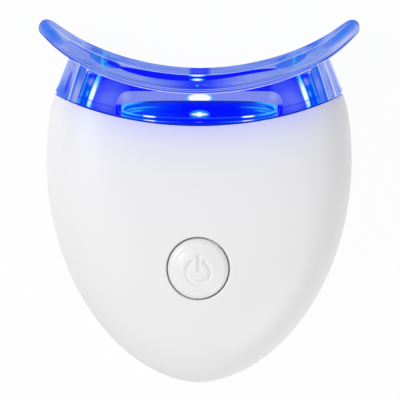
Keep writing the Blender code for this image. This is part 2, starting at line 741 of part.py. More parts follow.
def mouthpiece():
    thing = plate("mouthpiece")
    bm = bmesh.new()
    add_neck(bm)
    combine(thing, make_cutter("neck", bm), "UNION")

    outer = SPIGOT_HALF_WIDTH - SPIGOT_WALL / 4
    top = ARM_BASE + ARM_THICKNESS
    pad_low, pad_high = SCREW_Y - ARM_PAD / 2, SCREW_Y + ARM_PAD / 2
    reach = SEAM_Y + seam_rise(outer) - SPIGOT_LENGTH + BEDDING
    bm = bmesh.new()
    for side in (-1, 1):
        inner = outer - ARM_WIDTH
        ends = sorted((side * inner, side * outer))
        add_box(bm, (ends[0], pad_low, ARM_BASE), (ends[1], reach, top))
    combine(thing, make_cutter("arms", bm), "UNION")
    bm = bmesh.new()
    for side in (-1, 1):
        ends = sorted((side * (SCREW_X - ARM_PAD / 2), side * (outer - BEDDING)))
        add_box(bm, (ends[0], pad_low + BEDDING, ARM_BASE), (ends[1], pad_high, top))
    combine(thing, make_cutter("arm pads", bm), "UNION")

    bm = bmesh.new()
    for side in (-1, 1):
        low, high = ARM_BASE - OVERRUN, top + OVERRUN
        add_cylinder(bm, side * SCREW_X, SCREW_Y, low, high, SCREW_RADIUS + FIT_GAP, SMALL_SEGMENTS)
    return combine(thing, make_cutter("arm holes", bm), "DIFFERENCE")


def light_tunnel():
    """The clear sleeve round the lamp, open at both ends. Its upper end follows the lip plate."""

    def base(x, z):
        return TUNNEL_BASE_Y

    def knee(x, z):
        return TUNNEL_KNEE_Y

    def top(x, z):
        return plate_back(x, z) - TUNNEL_CLEARANCE

    def below_top(x, z):
        return top(x, z) - TUNNEL_EDGE

    def bore_ring(half_width, half_depth, station):
        ring = []
        for i in range(NECK_SEGMENTS):
            angle = 2 * math.pi * (i + 0.5) / NECK_SEGMENTS
            x, z = oval(angle, half_width, half_depth, TUNNEL_BORE_CORNER, TUNNEL_BORE_CORNER)
            ring.append((x, station(x, z), z))
        return ring

    shoulder = TUNNEL_EDGE / 2
    rings = [
        neck_ring(TUNNEL_TOP_HALF_WIDTH - shoulder, TUNNEL_TOP_HALF_DEPTH - shoulder / 2, top),
        neck_ring(TUNNEL_TOP_HALF_WIDTH, TUNNEL_TOP_HALF_DEPTH, below_top),
        neck_ring(TUNNEL_HALF_WIDTH, TUNNEL_HALF_DEPTH, knee),
        neck_ring(TUNNEL_HALF_WIDTH, TUNNEL_HALF_DEPTH, base),
        bore_ring(TUNNEL_BORE_HALF_WIDTH, TUNNEL_BORE_HALF_DEPTH, base),
        bore_ring(TUNNEL_BORE_HALF_WIDTH, TUNNEL_BORE_HALF_DEPTH, knee),
        bore_ring(TUNNEL_BORE_TOP_HALF_WIDTH, TUNNEL_BORE_TOP_HALF_DEPTH, top),
    ]
    bm = bmesh.new()
    add_loft(bm, rings, joined=True)
    return smooth(finish("light_tunnel", bm, LAMP, CLEAR_BLUE))


def bowl_place():
    """Turns a shape that opens along +Z so that it opens towards the mouth, tilted to the front."""
    turn = Matrix.Rotation(BOWL_TILT - math.pi / 2, 4, "X")
    return Matrix.Translation((0, BOWL_RIM_Y, PARTING)) @ turn


def extrude_rim(bm):
    """Grows a band from the open rim of a surface and returns its new points."""
    rim = [edge for edge in bm.edges if edge.is_boundary]
    made = bmesh.ops.extrude_edge_only(bm, edges=rim)["geom"]
    return [item for item in made if isinstance(item, bmesh.types.BMVert)]


def add_bowl(bm, grow):
    """Half a sphere pressed to an oval bowl, squarer at the rear, an open surface with a flared lip."""
    bmesh.ops.create_uvsphere(bm, u_segments=BOWL_SEGMENTS, v_segments=BOWL_BANDS, radius=1.0)
    geom = bm.verts[:] + bm.edges[:] + bm.faces[:]
    bmesh.ops.bisect_plane(bm, geom=geom, plane_co=(0, 0, 0), plane_no=(0, 0, 1), clear_outer=True)
    half_width, half_height = BOWL_HALF_WIDTH + grow, BOWL_HALF_HEIGHT + grow
    for vert in bm.verts:
        x, y, z = vert.co
        reach = math.hypot(x, y)
        if y > 0:
            swell = reach / (abs(x) ** BOWL_REAR_CORNER + y**BOWL_REAR_CORNER) ** (1 / BOWL_REAR_CORNER)
            x, y = x * swell, y * swell
        vert.co = (x * half_width, y * half_height, z * (BOWL_DEPTH + grow))
    for vert in extrude_rim(bm):
        across = Vector((vert.co.x / half_width, vert.co.y / half_height, 0)).normalized()
        vert.co += across * BOWL_LIP_FLARE + Vector((0, 0, BOWL_LIP))


def led_height():
    """The led's axis goes through the bottom of the tilted bowl."""
    return PARTING - BOWL_DEPTH * math.sin(BOWL_TILT)


def along_y(bm, verts, x, z):
    """Turns upright shapes so that their axis runs along Y at one X and Z, and their heights become Y."""
    for vert in verts:
        vert.co = (vert.co.x + x, vert.co.z, z - vert.co.y)


def reflector():
    bm = bmesh.new()
    add_bowl(bm, 0.0)
    bmesh.ops.transform(bm, matrix=bowl_place(), verts=bm.verts)
    thing = finish("reflector", bm, LAMP, SILVER)
    wall = thing.modifiers.new("wall", "SOLIDIFY")
    wall.thickness = BOWL_WALL
    wall.offset = 0.0
    bm = bmesh.new()
    low, high = LED_BASE_Y, LED_BASE_Y + LED_LENGTH
    hole = add_cylinder(bm, 0, 0, low, high, LED_RADIUS + FIT_GAP, SMALL_SEGMENTS)
    along_y(bm, hole, 0, led_height())
    return smooth(combine(thing, make_cutter("led hole", bm), "DIFFERENCE"))


def housing_section(bm, low, high):
    """The flange that closes the spigot behind the lamp, one slice of the neck's shape."""
    half_width = SPIGOT_HALF_WIDTH - SPIGOT_WALL - HOUSING_FLANGE_CLEARANCE
    half_depth = SPIGOT_HALF_DEPTH - SPIGOT_WALL - HOUSING_FLANGE_CLEARANCE
    ends = [neck_ring(half_width, half_depth, lambda x, z, y=y: y) for y in (low, high)]
    add_loft(bm, ends, joined=False)


def lamp_housing():
    """Flange, block, rear wall, two cheeks and the led's socket, with room for the bowl."""
    flange_front = HOUSING_FLANGE_Y + HOUSING_FLANGE
    bm = bmesh.new()
    housing_section(bm, HOUSING_FLANGE_Y, flange_front)
    thing = finish("lamp_housing", bm, LAMP, PALE_HOUSING)

    back = PARTING - HOUSING_HALF_DEPTH
    rear_top = plate_back(0.0, back + REAR_WALL) - REAR_WALL_CLEARANCE
    front = flange_front + HOUSING_FRONT
    bm = bmesh.new()
    low = (-HOUSING_HALF_WIDTH, flange_front - BEDDING, back + BEDDING)
    add_box(bm, low, (HOUSING_HALF_WIDTH, front, PARTING + HOUSING_HALF_DEPTH))
    combine(thing, make_cutter("housing block", bm), "UNION")

    bm = bmesh.new()
    low = (-HOUSING_HALF_WIDTH, HOUSING_FLANGE_Y + BEDDING, back)
    add_box(bm, low, (HOUSING_HALF_WIDTH, rear_top, back + REAR_WALL))
    upper = [edge for edge in bm.edges if all(vert.co.y > front for vert in edge.verts)]
    corners = [edge for edge in upper if edge.verts[0].co.z != edge.verts[1].co.z]
    bmesh.ops.bevel(
        bm,
        geom=corners,
        offset=REAR_WALL_CORNER,
        segments=CORNER_SEGMENTS,
        profile=0.5,
        affect="EDGES",
        material=-1,
    )
    combine(thing, make_cutter("rear wall", bm), "UNION")

    bm = bmesh.new()
    for side in (-1, 1):
        ends = sorted((side * (HOUSING_HALF_WIDTH - CHEEK_WIDTH), side * HOUSING_HALF_WIDTH))
        low = (ends[0], front - BEDDING, back + BEDDING)
        add_box(bm, low, (ends[1], front + CHEEK_LENGTH, back + REAR_WALL + CHEEK_DEPTH))
    combine(thing, make_cutter("cheeks", bm), "UNION")

    bm = bmesh.new()
    outer = LED_FLANGE_RADIUS + FIT_GAP + SOCKET_WALL
    socket = add_cylinder(bm, 0, 0, HOUSING_FLANGE_Y - SOCKET_LENGTH, HOUSING_FLANGE_Y + BEDDING, outer)
    along_y(bm, socket, 0, led_height())
    combine(thing, make_cutter("socket", bm), "UNION")

    bm = bmesh.new()
    add_bowl(bm, BOWL_WALL + FIT_GAP)
    for vert in extrude_rim(bm):
        vert.co.z += HOUSING_HALF_DEPTH
    bmesh.ops.holes_fill(bm, edges=[edge for edge in bm.edges if edge.is_boundary], sides=0)
    bmesh.ops.transform(bm, matrix=bowl_place(), verts=bm.verts)
    combine(thing, make_cutter("bowl room", bm), "DIFFERENCE")

    bm = bmesh.new()
    start = HOUSING_FLANGE_Y - SOCKET_LENGTH - OVERRUN
    seat = LED_BASE_Y + LED_FLANGE + FIT_GAP
    wide = add_cylinder(bm, 0, 0, start, seat, LED_FLANGE_RADIUS + FIT_GAP, SMALL_SEGMENTS)
    along_y(bm, wide, 0, led_height())
    combine(thing, make_cutter("led seat", bm), "DIFFERENCE")
    bm = bmesh.new()
    narrow = add_cylinder(bm, 0, 0, start, front + OVERRUN, LED_RADIUS + FIT_GAP, SMALL_SEGMENTS)
    along_y(bm, narrow, 0, led_height())
    return combine(thing, make_cutter("led bore", bm), "DIFFERENCE")


def led():
    """Flange, barrel and dome of the led, turned about its axis."""
    shoulder = LED_LENGTH - LED_RADIUS
    profile = [(0.0, LED_LENGTH)]
    for i in range(1, DOME_BANDS + 1):
        turn = math.pi / 2 * i / DOME_BANDS
        profile.append((LED_RADIUS * math.sin(turn), shoulder + LED_RADIUS * math.cos(turn)))
    profile += [(LED_RADIUS, LED_FLANGE), (LED_FLANGE_RADIUS, LED_FLANGE)]
    profile += [(LED_FLANGE_RADIUS, 0.0), (0.0, 0.0)]
    thing = turned("led", profile, SMALL_SEGMENTS, LED_BLUE)
    thing.location = (0, LED_BASE_Y, led_height())
    thing.rotation_euler = (-math.pi / 2, 0, 0)
    return thing


def wire(name, points, radius, material):
    """A bent wire through points, with a short rounded turn at each inner one."""
    curve = bpy.data.curves.new(name, "CURVE")
    curve.dimensions = "3D"
    curve.bevel_depth = radius
    curve.bevel_resolution = 1
    curve.use_fill_caps = True
    route = [Vector(points[0])]
    for before, corner, after in zip(points, points[1:], points[2:]):
        corner = Vector(corner)
        start = corner + (Vector(before) - corner).normalized() * LEAD_BEND
        stop = corner + (Vector(after) - corner).normalized() * LEAD_BEND
        for i in range(BEND_SEGMENTS + 1):
            share = i / BEND_SEGMENTS
            route.append(start.lerp(corner, share).lerp(corner.lerp(stop, share), share))
    route.append(Vector(points[-1]))
    spline = curve.splines.new("POLY")
    spline.points.add(len(route) - 1)
    for point, place in zip(spline.points, route):
        point.co = (*place, 1.0)
    curve.materials.append(material)
    thing = bpy.data.objects.new(name, curve)
    LAMP.objects.link(thing)
    return thing


def led_leads():
    """The led's wires run back from its base and turn up under the board."""
    height = led_height()
    turn_y = BOARD_Y + BOARD_LENGTH - BOARD_THICKNESS
    for side, name in ((-1, "led_lead_left"), (1, "led_lead_right")):
        x = side * LEAD_PITCH / 2
        points = [(x, LED_BASE_Y - FIT_GAP, height), (x, turn_y, height), (x, turn_y, BOARD_HEIGHT - FIT_GAP)]
        wire(name, points, LEAD_RADIUS, STEEL)


def circuit_board():
    bm = bmesh.new()
    low = (-BOARD_HALF_WIDTH, BOARD_Y, BOARD_HEIGHT)
    add_box(bm, low, (BOARD_HALF_WIDTH, BOARD_Y + BOARD_LENGTH, BOARD_TOP))
    return finish("circuit_board", bm, LAMP, BOARD_GREEN)


def switch():
    """The push switch: its body, its steel cover and the plunger that the button presses."""
    half = SWITCH_SIZE / 2
    hole = PLUNGER_RADIUS + FIT_GAP
    bm = bmesh.new()
    add_box(bm, (-half, BUTTON_Y - half, SWITCH_BASE), (half, BUTTON_Y + half, SWITCH_TOP))
    body = round_edges(finish("switch_body", bm, LAMP, BLACK_PLASTIC), SWITCH_COVER)
    bm = bmesh.new()
    add_box(bm, (-half, BUTTON_Y - half, COVER_BASE), (half, BUTTON_Y + half, COVER_BASE + SWITCH_COVER))
    cover = finish("switch_cover", bm, LAMP, STEEL)
    bm = bmesh.new()
    low = COVER_BASE - PLUNGER_DEPTH - BUTTON_TRAVEL - FIT_GAP
    add_cylinder(bm, 0, BUTTON_Y, low, COVER_BASE + OVERRUN, hole, SMALL_SEGMENTS)
    bore = make_cutter("plunger bore", bm)
    combine(body, bore, "DIFFERENCE")
    combine(cover, bore, "DIFFERENCE")
    bm = bmesh.new()
    add_cylinder(bm, 0, BUTTON_Y, COVER_BASE - PLUNGER_DEPTH, PLUNGER_TOP, PLUNGER_RADIUS, SMALL_SEGMENTS)
    plunger = finish("switch_plunger", bm, LAMP, BLACK_PLASTIC)
    return put_origin(plunger, (0, BUTTON_Y, PARTING))


def board_box(name, size, place, material):
    """A small box that sits on the board, place being its middle from the switch's middle."""
    x, y = place[0], BUTTON_Y + place[1]
    base = BOARD_TOP + FIT_GAP
    bm = bmesh.new()
    half_width, half_length = size[0] / 2, size[1] / 2
    add_box(bm, (x - half_width, y - half_length, base), (x + half_width, y + half_length, base + size[2]))
    return finish(name, bm, LAMP, material)


def timer_chip():
    """The chip and its eight legs, joined."""
    thing = board_box("timer_chip", CHIP_SIZE, CHIP_PLACE, BLACK_PLASTIC)
    x, y = CHIP_PLACE[0], BUTTON_Y + CHIP_PLACE[1]
    base = BOARD_TOP + FIT_GAP
    reach = CHIP_SIZE[0] / 2 + CHIP_LEG_REACH
    bm = bmesh.new()
    for side in (-1, 1):
        for row in range(CHIP_ROWS):
            middle = y + (row - (CHIP_ROWS - 1) / 2) * CHIP_LEG_PITCH
            ends = sorted((x + side * (CHIP_SIZE[0] / 2 - BEDDING), x + side * reach))
            low = (ends[0], middle - CHIP_LEG / 2, base + CHIP_LEG)
            add_box(bm, low, (ends[1], middle + CHIP_LEG / 2, base + 2 * CHIP_LEG))
    return combine(thing, make_cutter("chip legs", bm), "UNION")


def capacitor():
    base = BOARD_TOP + FIT_GAP
    profile = [
        (0.0, CAPACITOR_HEIGHT),
        (CAPACITOR_RADIUS - CAPACITOR_EDGE, CAPACITOR_HEIGHT),
        (CAPACITOR_RADIUS, CAPACITOR_HEIGHT - CAPACITOR_EDGE),
        (CAPACITOR_RADIUS, CAPACITOR_EDGE),
        (CAPACITOR_RADIUS - CAPACITOR_EDGE, 0.0),
        (0.0, 0.0),
    ]
    thing = turned("capacitor", profile, SMALL_SEGMENTS, CAN_METAL)
    thing.location = (CAPACITOR_PLACE[0], BUTTON_Y + CAPACITOR_PLACE[1], base)
    return thing


def coin_cells():
    """Two stacked cells. Each has its wide can towards the door and its smaller face towards the board."""
    step = CELL_RADIUS - CELL_STEP
    shoulder = CELL_HEIGHT - CELL_STEP_HEIGHT
    profile = [
        (0.0, CELL_HEIGHT),
        (step - CELL_EDGE, CELL_HEIGHT),
        (step, CELL_HEIGHT - CELL_EDGE),
        (step, shoulder),
        (CELL_RADIUS - CELL_EDGE, shoulder),
        (CELL_RADIUS, shoulder - CELL_EDGE),
        (CELL_RADIUS, CELL_EDGE),
        (CELL_RADIUS - CELL_EDGE, 0.0),
        (0.0, 0.0),
    ]
    for name, height in (("coin_cell_lower", LOWER_CELL_Z), ("coin_cell_upper", UPPER_CELL_Z)):
        cell = turned(name, profile, ROUND_SEGMENTS, CELL_STEEL)
        cell.location = (0, CELL_Y, height)


def strip(name, path, material):
    """A bent strip of sheet metal, path being its Y and Z points."""
    half = CONTACT_WIDTH / 2
    bm = bmesh.new()
    edges = [[bm.verts.new((x, y, z)) for x in (-half, half)] for y, z in path]
    for lower, upper in zip(edges, edges[1:]):
        bm.faces.new((lower[0], lower[1], upper[1], upper[0]))
    thing = finish(name, bm, LAMP, material)
    wall = thing.modifiers.new("sheet", "SOLIDIFY")
    wall.thickness = CONTACT_THICKNESS
    wall.offset = 0.0
    wall.use_even_offset = True
    return thing


def contacts():
    """One strip along the cells' rims and one leaf over the upper cell, both up to the board."""
    top = BOARD_HEIGHT - FIT_GAP
    rim = CELL_Y + CELL_RADIUS + FIT_GAP + CONTACT_THICKNESS / 2
    foot = LOWER_CELL_Z + CONTACT_FOOT
    strip("contact_positive", [(rim, foot), (rim, UPPER_CELL_Z), (rim, top)], STEEL)
    leaf = LEAF_Z + CONTACT_THICKNESS / 2
    tail = CELL_Y - CELL_RADIUS + CONTACT_WIDTH / 2
    strip("contact_negative", [(CELL_Y + LEAF_REACH, leaf), (CELL_Y, leaf), (tail, leaf), (tail, top)], STEEL)


def screw(name, x, y, recess):
    """A self-tapping screw whose head faces the back."""
    seat = recess + SCREW_HEAD
    tip = seat + SCREW_LENGTH
    profile = [
        (0.0, tip),
        (SCREW_RADIUS, tip - SCREW_POINT),
        (SCREW_RADIUS, seat),
        (SCREW_HEAD_RADIUS, seat),
        (SCREW_HEAD_RADIUS, recess + SCREW_HEAD / 3),
        (SCREW_HEAD_RADIUS - SCREW_HEAD / 3, recess),
        (0.0, recess),
    ]
    thing = turned(name, profile, SMALL_SEGMENTS, STEEL)
    thing.location = (x, y, 0)
    bm = bmesh.new()
    arm, half = SCREW_HEAD_RADIUS * SCREW_SLOT_SHARE, SCREW_SLOT_WIDTH / 2
    low, high = recess - OVERRUN, recess + SCREW_SLOT_DEPTH
    add_box(bm, (x - arm, y - half, low), (x + arm, y + half, high))
    first = make_cutter(f"{name} slot", bm)
    bm = bmesh.new()
    add_box(bm, (x - half, y - arm, low), (x + half, y + arm, high))
    combine(thing, first, "DIFFERENCE")
    return combine(thing, make_cutter(f"{name} cross slot", bm), "DIFFERENCE")


def battery_door():
    """The sliding cover: a slice of the casing's own back, with grip grooves."""
    bm = bmesh.new()
    door_prism(bm, 0.0, -OVERRUN, DOOR_TOP, DOOR_Y, DOOR_Y + DOOR_LENGTH)
    thing = finish("battery_door", bm, LAMP, WHITE_SHELL)
    bm = bmesh.new()
    add_casing(bm, DOOR_RECESS)
    combine(thing, make_cutter("door form", bm), "INTERSECT")
    bm = bmesh.new()
    for i in range(GRIP_COUNT):
        middle = DOOR_Y + GRIP_FROM_DOOR_END + i * GRIP_PITCH
        low = (-GRIP_HALF_LENGTH, middle - GRIP_WIDTH / 2, -OVERRUN)
        add_box(bm, low, (GRIP_HALF_LENGTH, middle + GRIP_WIDTH / 2, DOOR_RECESS + GRIP_DEPTH))
    combine(thing, make_cutter("grip grooves", bm), "DIFFERENCE")
    return put_origin(thing, (0, DOOR_Y, DOOR_RECESS))


def flange_top():
    """Height of the button's flange, just under the front wall at its lowest."""
    reach = BUTTON_RADIUS + BUTTON_FLANGE_WIDTH
    turns = [2 * math.pi * i / ROUND_SEGMENTS for i in range(ROUND_SEGMENTS)]
    lowest = min(front_height(reach * math.cos(turn), BUTTON_Y + reach * math.sin(turn)) for turn in turns)
    return lowest - WALL - FIT_GAP - BEDDING


def power_button():
    """A round cap cut parallel to the front face, with a flange and a stem that meets the plunger."""
    top = flange_top()
    base = top - BUTTON_FLANGE
    wide = BUTTON_RADIUS + BUTTON_FLANGE_WIDTH
    profile = [
        (0.0, BUTTON_PROUD + BUTTON_DOME),
        (BUTTON_RADIUS / 2, BUTTON_PROUD + BUTTON_DOME * 3 / 4),
        (BUTTON_RADIUS - BUTTON_EDGE, BUTTON_PROUD),
        (BUTTON_RADIUS - BUTTON_EDGE / 3, BUTTON_PROUD - BUTTON_EDGE / 3),
        (BUTTON_RADIUS, BUTTON_PROUD - BUTTON_EDGE),
    ]
    bm = bmesh.new()
    rings = []
    for radius, height in profile[1:]:
        ring = []
        for i in range(ROUND_SEGMENTS):
            turn = 2 * math.pi * i / ROUND_SEGMENTS
            x, y = radius * math.cos(turn), BUTTON_Y + radius * math.sin(turn)
            ring.append((x, y, front_height(x, y) + height))
        rings.append(ring)
    for radius, height in ((BUTTON_RADIUS, top), (wide, top), (wide, base), (BUTTON_STEM_RADIUS, base)):
        ring = []
        for i in range(ROUND_SEGMENTS):
            turn = 2 * math.pi * i / ROUND_SEGMENTS
            ring.append((radius * math.cos(turn), BUTTON_Y + radius * math.sin(turn), height))
        rings.append(ring)
    rings.append([(x, y, PLUNGER_TOP + FIT_GAP) for x, y, z in rings[-1]])
    add_loft(bm, rings, joined=False)
    thing = finish("power_button", bm, LAMP, WHITE_BUTTON)
    combine(thing, icon_cutter(), "DIFFERENCE")
    return put_origin(smooth(thing), (0, BUTTON_Y, PARTING))


def icon_cutter():
    """The power symbol: a ring with a gap at the top and a bar in the gap."""
    face = front_height(0, BUTTON_Y) + BUTTON_PROUD + BUTTON_DOME
    low, high = face - ICON_DEPTH - BUTTON_DOME, face + OVERRUN
    half = ICON_LINE / 2
    inner, outer = ICON_RADIUS - half, ICON_RADIUS + half
    start = math.pi / 2 + ICON_GAP / 2
    sweep = 2 * math.pi - ICON_GAP
    rings = []
    for i in range(ICON_SEGMENTS + 1):
        turn = start + sweep * i / ICON_SEGMENTS
        across, up = math.cos(turn), math.sin(turn)
        corners = ((inner, low), (outer, low), (outer, high), (inner, high))
        rings.append([(across * radius, BUTTON_Y + up * radius, z) for radius, z in corners])
    bm = bmesh.new()
    add_loft(bm, rings, joined=False)
    middle = BUTTON_Y + ICON_BAR_CENTRE
    add_box(bm, (-half, middle - ICON_BAR_LENGTH / 2, low), (half, middle + ICON_BAR_LENGTH / 2, high))
    return make_cutter("power symbol", bm)


for thing in list(bpy.data.objects):
    bpy.data.objects.remove(thing, do_unlink=True)

LAMP = new_collection("teeth whitening lamp")
CUTTERS = new_collection("cutters")
WHITE_SHELL = new_material("white shell", (0.88, 0.88, 0.89), 0.32)
WHITE_BUTTON = new_material("white button", (0.90, 0.90, 0.91), 0.36)
CLEAR_BLUE = new_material("clear blue", (0.35, 0.45, 1.0), 0.05, alpha=0.4)
PALE_HOUSING = new_material("pale housing", (0.62, 0.64, 0.92), 0.4)
SILVER = new_material("silver", (0.8, 0.82, 0.9), 0.08, metallic=1.0)
LED_BLUE = new_material("led blue", (0.35, 0.6, 1.0), 0.1)
STEEL = new_material("steel", (0.7, 0.7, 0.72), 0.3, metallic=1.0)
CELL_STEEL = new_material("cell steel", (0.76, 0.76, 0.77), 0.25, metallic=1.0)
CAN_METAL = new_material("can metal", (0.55, 0.56, 0.58), 0.35, metallic=1.0)
BOARD_GREEN = new_material("board green", (0.05, 0.25, 0.12), 0.45)
BLACK_PLASTIC = new_material("black plastic", (0.03, 0.03, 0.03), 0.5)
BROWN_CERAMIC = new_material("brown ceramic", (0.12, 0.08, 0.06), 0.5)

SEAM = seam_cutter()
front_shell()
back_shell()
mouthpiece()
light_tunnel()
lamp_housing()
reflector()
led()
led_leads()
circuit_board()
switch()
timer_chip()
board_box("resistor", RESISTOR_SIZE, RESISTOR_PLACE, BROWN_CERAMIC)
capacitor()
coin_cells()
contacts()
for SCREW_NAME, (SCREW_AT_X, SCREW_AT_Y) in screw_places().items():
    RECESS = TAIL_SCREW_HEAD_RECESS if SCREW_NAME == "tail" else SCREW_HEAD_RECESS
    screw(f"shell_screw_{SCREW_NAME}", SCREW_AT_X, SCREW_AT_Y, RECESS)
battery_door()
power_button()
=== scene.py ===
"""Looks of the teeth whitening lamp: smooth white casing, lit clear mouthpiece, dish and button."""

import math
from functools import reduce

import bmesh
import bpy
from bpy.props import FloatProperty, FloatVectorProperty, PointerProperty
from bpy.types import Operator, Panel, PropertyGroup
from mathutils import Matrix, Vector


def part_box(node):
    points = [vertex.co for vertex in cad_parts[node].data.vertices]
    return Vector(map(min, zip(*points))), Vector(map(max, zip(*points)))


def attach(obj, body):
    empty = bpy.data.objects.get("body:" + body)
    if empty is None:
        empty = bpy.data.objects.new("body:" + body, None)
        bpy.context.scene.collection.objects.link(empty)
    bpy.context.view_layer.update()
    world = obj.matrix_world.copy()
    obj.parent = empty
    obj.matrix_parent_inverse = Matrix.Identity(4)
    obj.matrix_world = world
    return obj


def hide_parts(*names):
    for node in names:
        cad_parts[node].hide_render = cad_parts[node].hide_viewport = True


bl_info = {
    "name": "Teeth Whitening Lamp",
    "version": (1, 0, 0),
    "blender": (4, 5, 0),
    "location": "View3D > Sidebar > Lamp",
    "description": "Builds the casing, lit mouthpiece, dish, button and stage of a whitening lamp",
    "category": "Object",
}

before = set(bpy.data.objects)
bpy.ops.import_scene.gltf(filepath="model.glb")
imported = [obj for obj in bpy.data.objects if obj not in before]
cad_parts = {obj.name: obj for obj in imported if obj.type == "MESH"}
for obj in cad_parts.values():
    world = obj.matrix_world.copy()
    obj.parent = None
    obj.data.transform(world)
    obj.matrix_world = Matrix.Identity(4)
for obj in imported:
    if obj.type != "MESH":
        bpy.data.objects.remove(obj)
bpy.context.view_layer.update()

TAIL_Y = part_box("front_shell")[0].y
BACK_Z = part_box("back_shell")[0].z
TURN = 2 * math.pi
OVERRUN = 0.002  # how far a cutter runs past what it cuts
FOOT_END = 0.02877  # middle to the end of the neck's foot
DOOR_WALL = 0.0017  # thickness of the battery door
SCREWS = ("shell_screw_left", "shell_screw_right", "shell_screw_tail")


def length(name, description, default):
    return FloatProperty(
        name=name, description=description, default=default, precision=5, unit="LENGTH"
    )


def number(name, description, default):
    return FloatProperty(name=name, description=description, default=default, precision=3)


def angle(name, description, degrees):
    return FloatProperty(
        name=name, description=description, default=math.radians(degrees), subtype="ANGLE"
    )


def to_linear(value):
    share = value / 255
    return share / 12.92 if share <= 0.04045 else ((share + 0.055) / 1.055) ** 2.4


def paint(name, description, red, green, blue):
    """A colour, given as it shows on a screen."""
    shown = tuple(to_linear(value) for value in (red, green, blue))
    return FloatVectorProperty(
        name=name, description=description, subtype="COLOR", size=3, default=shown, min=0, max=1
    )


class LampSizes(PropertyGroup):
    """Sizes of the lamp. Places along it are counted from the tail."""

    half_width: length("Half width", "Middle to side of the casing", 0.0305)
    widest: length("Widest line", "Tail of the solid part to the casing's widest line", 0.0443)
    tail_reach: length("Tail reach", "Widest line to the tail", 0.0446)
    tail_power: number("Tail power", "Above 1 makes the tail more pointed", 1.10)
    nose_reach: length("Nose reach", "Widest line to where the upper outline would close", 0.0175)
    nose_power: number("Nose power", "Near 0 keeps the sides of the upper outline upright", 0.14)
    rise: length("Rise", "Parting line to the front face", 0.0120)
    drop: length("Drop", "Parting line to the flat back", 0.0120)
    crown: number("Crown", "The higher, the flatter the front face", 4.5)
    shoulder: number("Shoulder", "The higher, the squarer the shoulder", 2.1)
    flat_share: number("Flat share", "Share of the outline that is flat on the back", 0.72)
    wall: length("Wall", "Thickness of the casing", 0.0016)
    gap: length("Gap", "Room between pieces", 0.0003)
    seam: length("Seam", "Tail to the middle of the casing's upper edge", 0.0518)
    seam_radius: length("Seam radius", "Radius of the casing's upper edge", 0.0744)
    foot_corner: length("Foot corner", "Rounding at each end of the neck's foot", 0.0011)
    button: length("Button", "Tail to the button's middle", 0.0234)
    button_radius: length("Button radius", "Radius of the cap", 0.00602)
    button_proud: length("Button height", "Cap above the casing", 0.0007)
    button_dome: length("Button dome", "How much the cap's middle is higher", 0.00066)
    button_edge: length("Button edge", "Width of the cap's rounded border", 0.0015)
    symbol_radius: length("Symbol radius", "Middle of the power symbol's ring", 0.00234)
    symbol_line: length("Symbol line", "Width of the symbol's groove", 0.00146)
    symbol_depth: length("Symbol depth", "Depth of the symbol's groove", 0.00068)
    symbol_gap: angle("Symbol gap", "Opening of the symbol's ring", 66)
    symbol_bar: length("Symbol bar", "Length of the symbol's bar", 0.0027)
    plate: length("Lip plate", "Tail to the middle of the lip plate's wall", 0.05885)
    plate_radius: length("Plate bend", "Radius of the lip plate's bend", 0.05235)
    plate_half_width: length("Plate half width", "Middle to tip of the lip plate", 0.03157)
    plate_half_height: length("Plate half height", "Middle to rim of the lip plate", 0.0108)
    plate_thickness: length("Plate thickness", "Wall of the lip plate", 0.0027)
    plate_rim: length("Plate rim", "Rounding of the lip plate's rim", 0.0010)
    plate_cup: length("Plate cup", "How far the front rim stands towards the mouth", 0.0020)
    plate_back_cup: length("Plate back cup", "How far the back rim stands that way", 0.0024)
    tip_lift: length("Tip lift", "How far the two ends bend further", 0.00225)
    dish_half_width: length("Dish half width", "Middle to side of the dish", 0.01507)
    dish_half_height: length("Dish half height", "Middle to front of the dish", 0.0044)
    dish_depth: length("Dish depth", "Rim to bottom of the dish", 0.0048)
    dish_tilt: angle("Dish tilt", "How far the dish leans to the front", 18)
    dish_rim: length("Dish rim", "Tail to the middle of the dish's rim", 0.0535)
    door: length("Door", "Tail to the end of the battery door", 0.0096)
    door_length: length("Door length", "Length of the battery door", 0.0327)
    door_half_width: length("Door half width", "Middle to side of the battery door", 0.0117)


class LampColours(PropertyGroup):
    """Colours of the lamp. The casing and the button are as they show in plain light; the casing
    glow and the colours of the clear plastic are painted light.
    """

    casing: paint("Casing", "White of the casing", 244, 244, 245)
    # Casing glow is the painted blue light of the lamp where it shines through the casing.
    casing_glow: paint("Casing glow", "Casing where the light shines through it", 208, 210, 252)
    button: paint("Button", "White of the button", 246, 246, 246)
    # Painted light of the lamp inside the clear plastic: pale, violet, deep, azure and haze are
    # painted glow, cyan and spark painted reflections and glints, edge painted dark edges, shine
    # painted highlight lines.
    pale: paint("Pale", "Thin clear plastic", 128, 148, 232)
    violet: paint("Violet", "Thick clear plastic", 80, 98, 246)
    deep: paint("Deep", "Deep blue of the light", 3, 18, 246)
    azure: paint("Azure", "Bright blue of the light", 6, 96, 236)
    cyan: paint("Cyan", "Rim of the brightest reflections", 60, 190, 248)
    spark: paint("Spark", "Brightest reflections", 252, 255, 255)
    edge: paint("Edge", "Dark edges of clear plastic", 20, 50, 176)
    haze: paint("Haze", "Thinnest clear plastic", 180, 192, 236)
    shine: paint("Shine", "White lines along edges of clear plastic", 205, 218, 248)


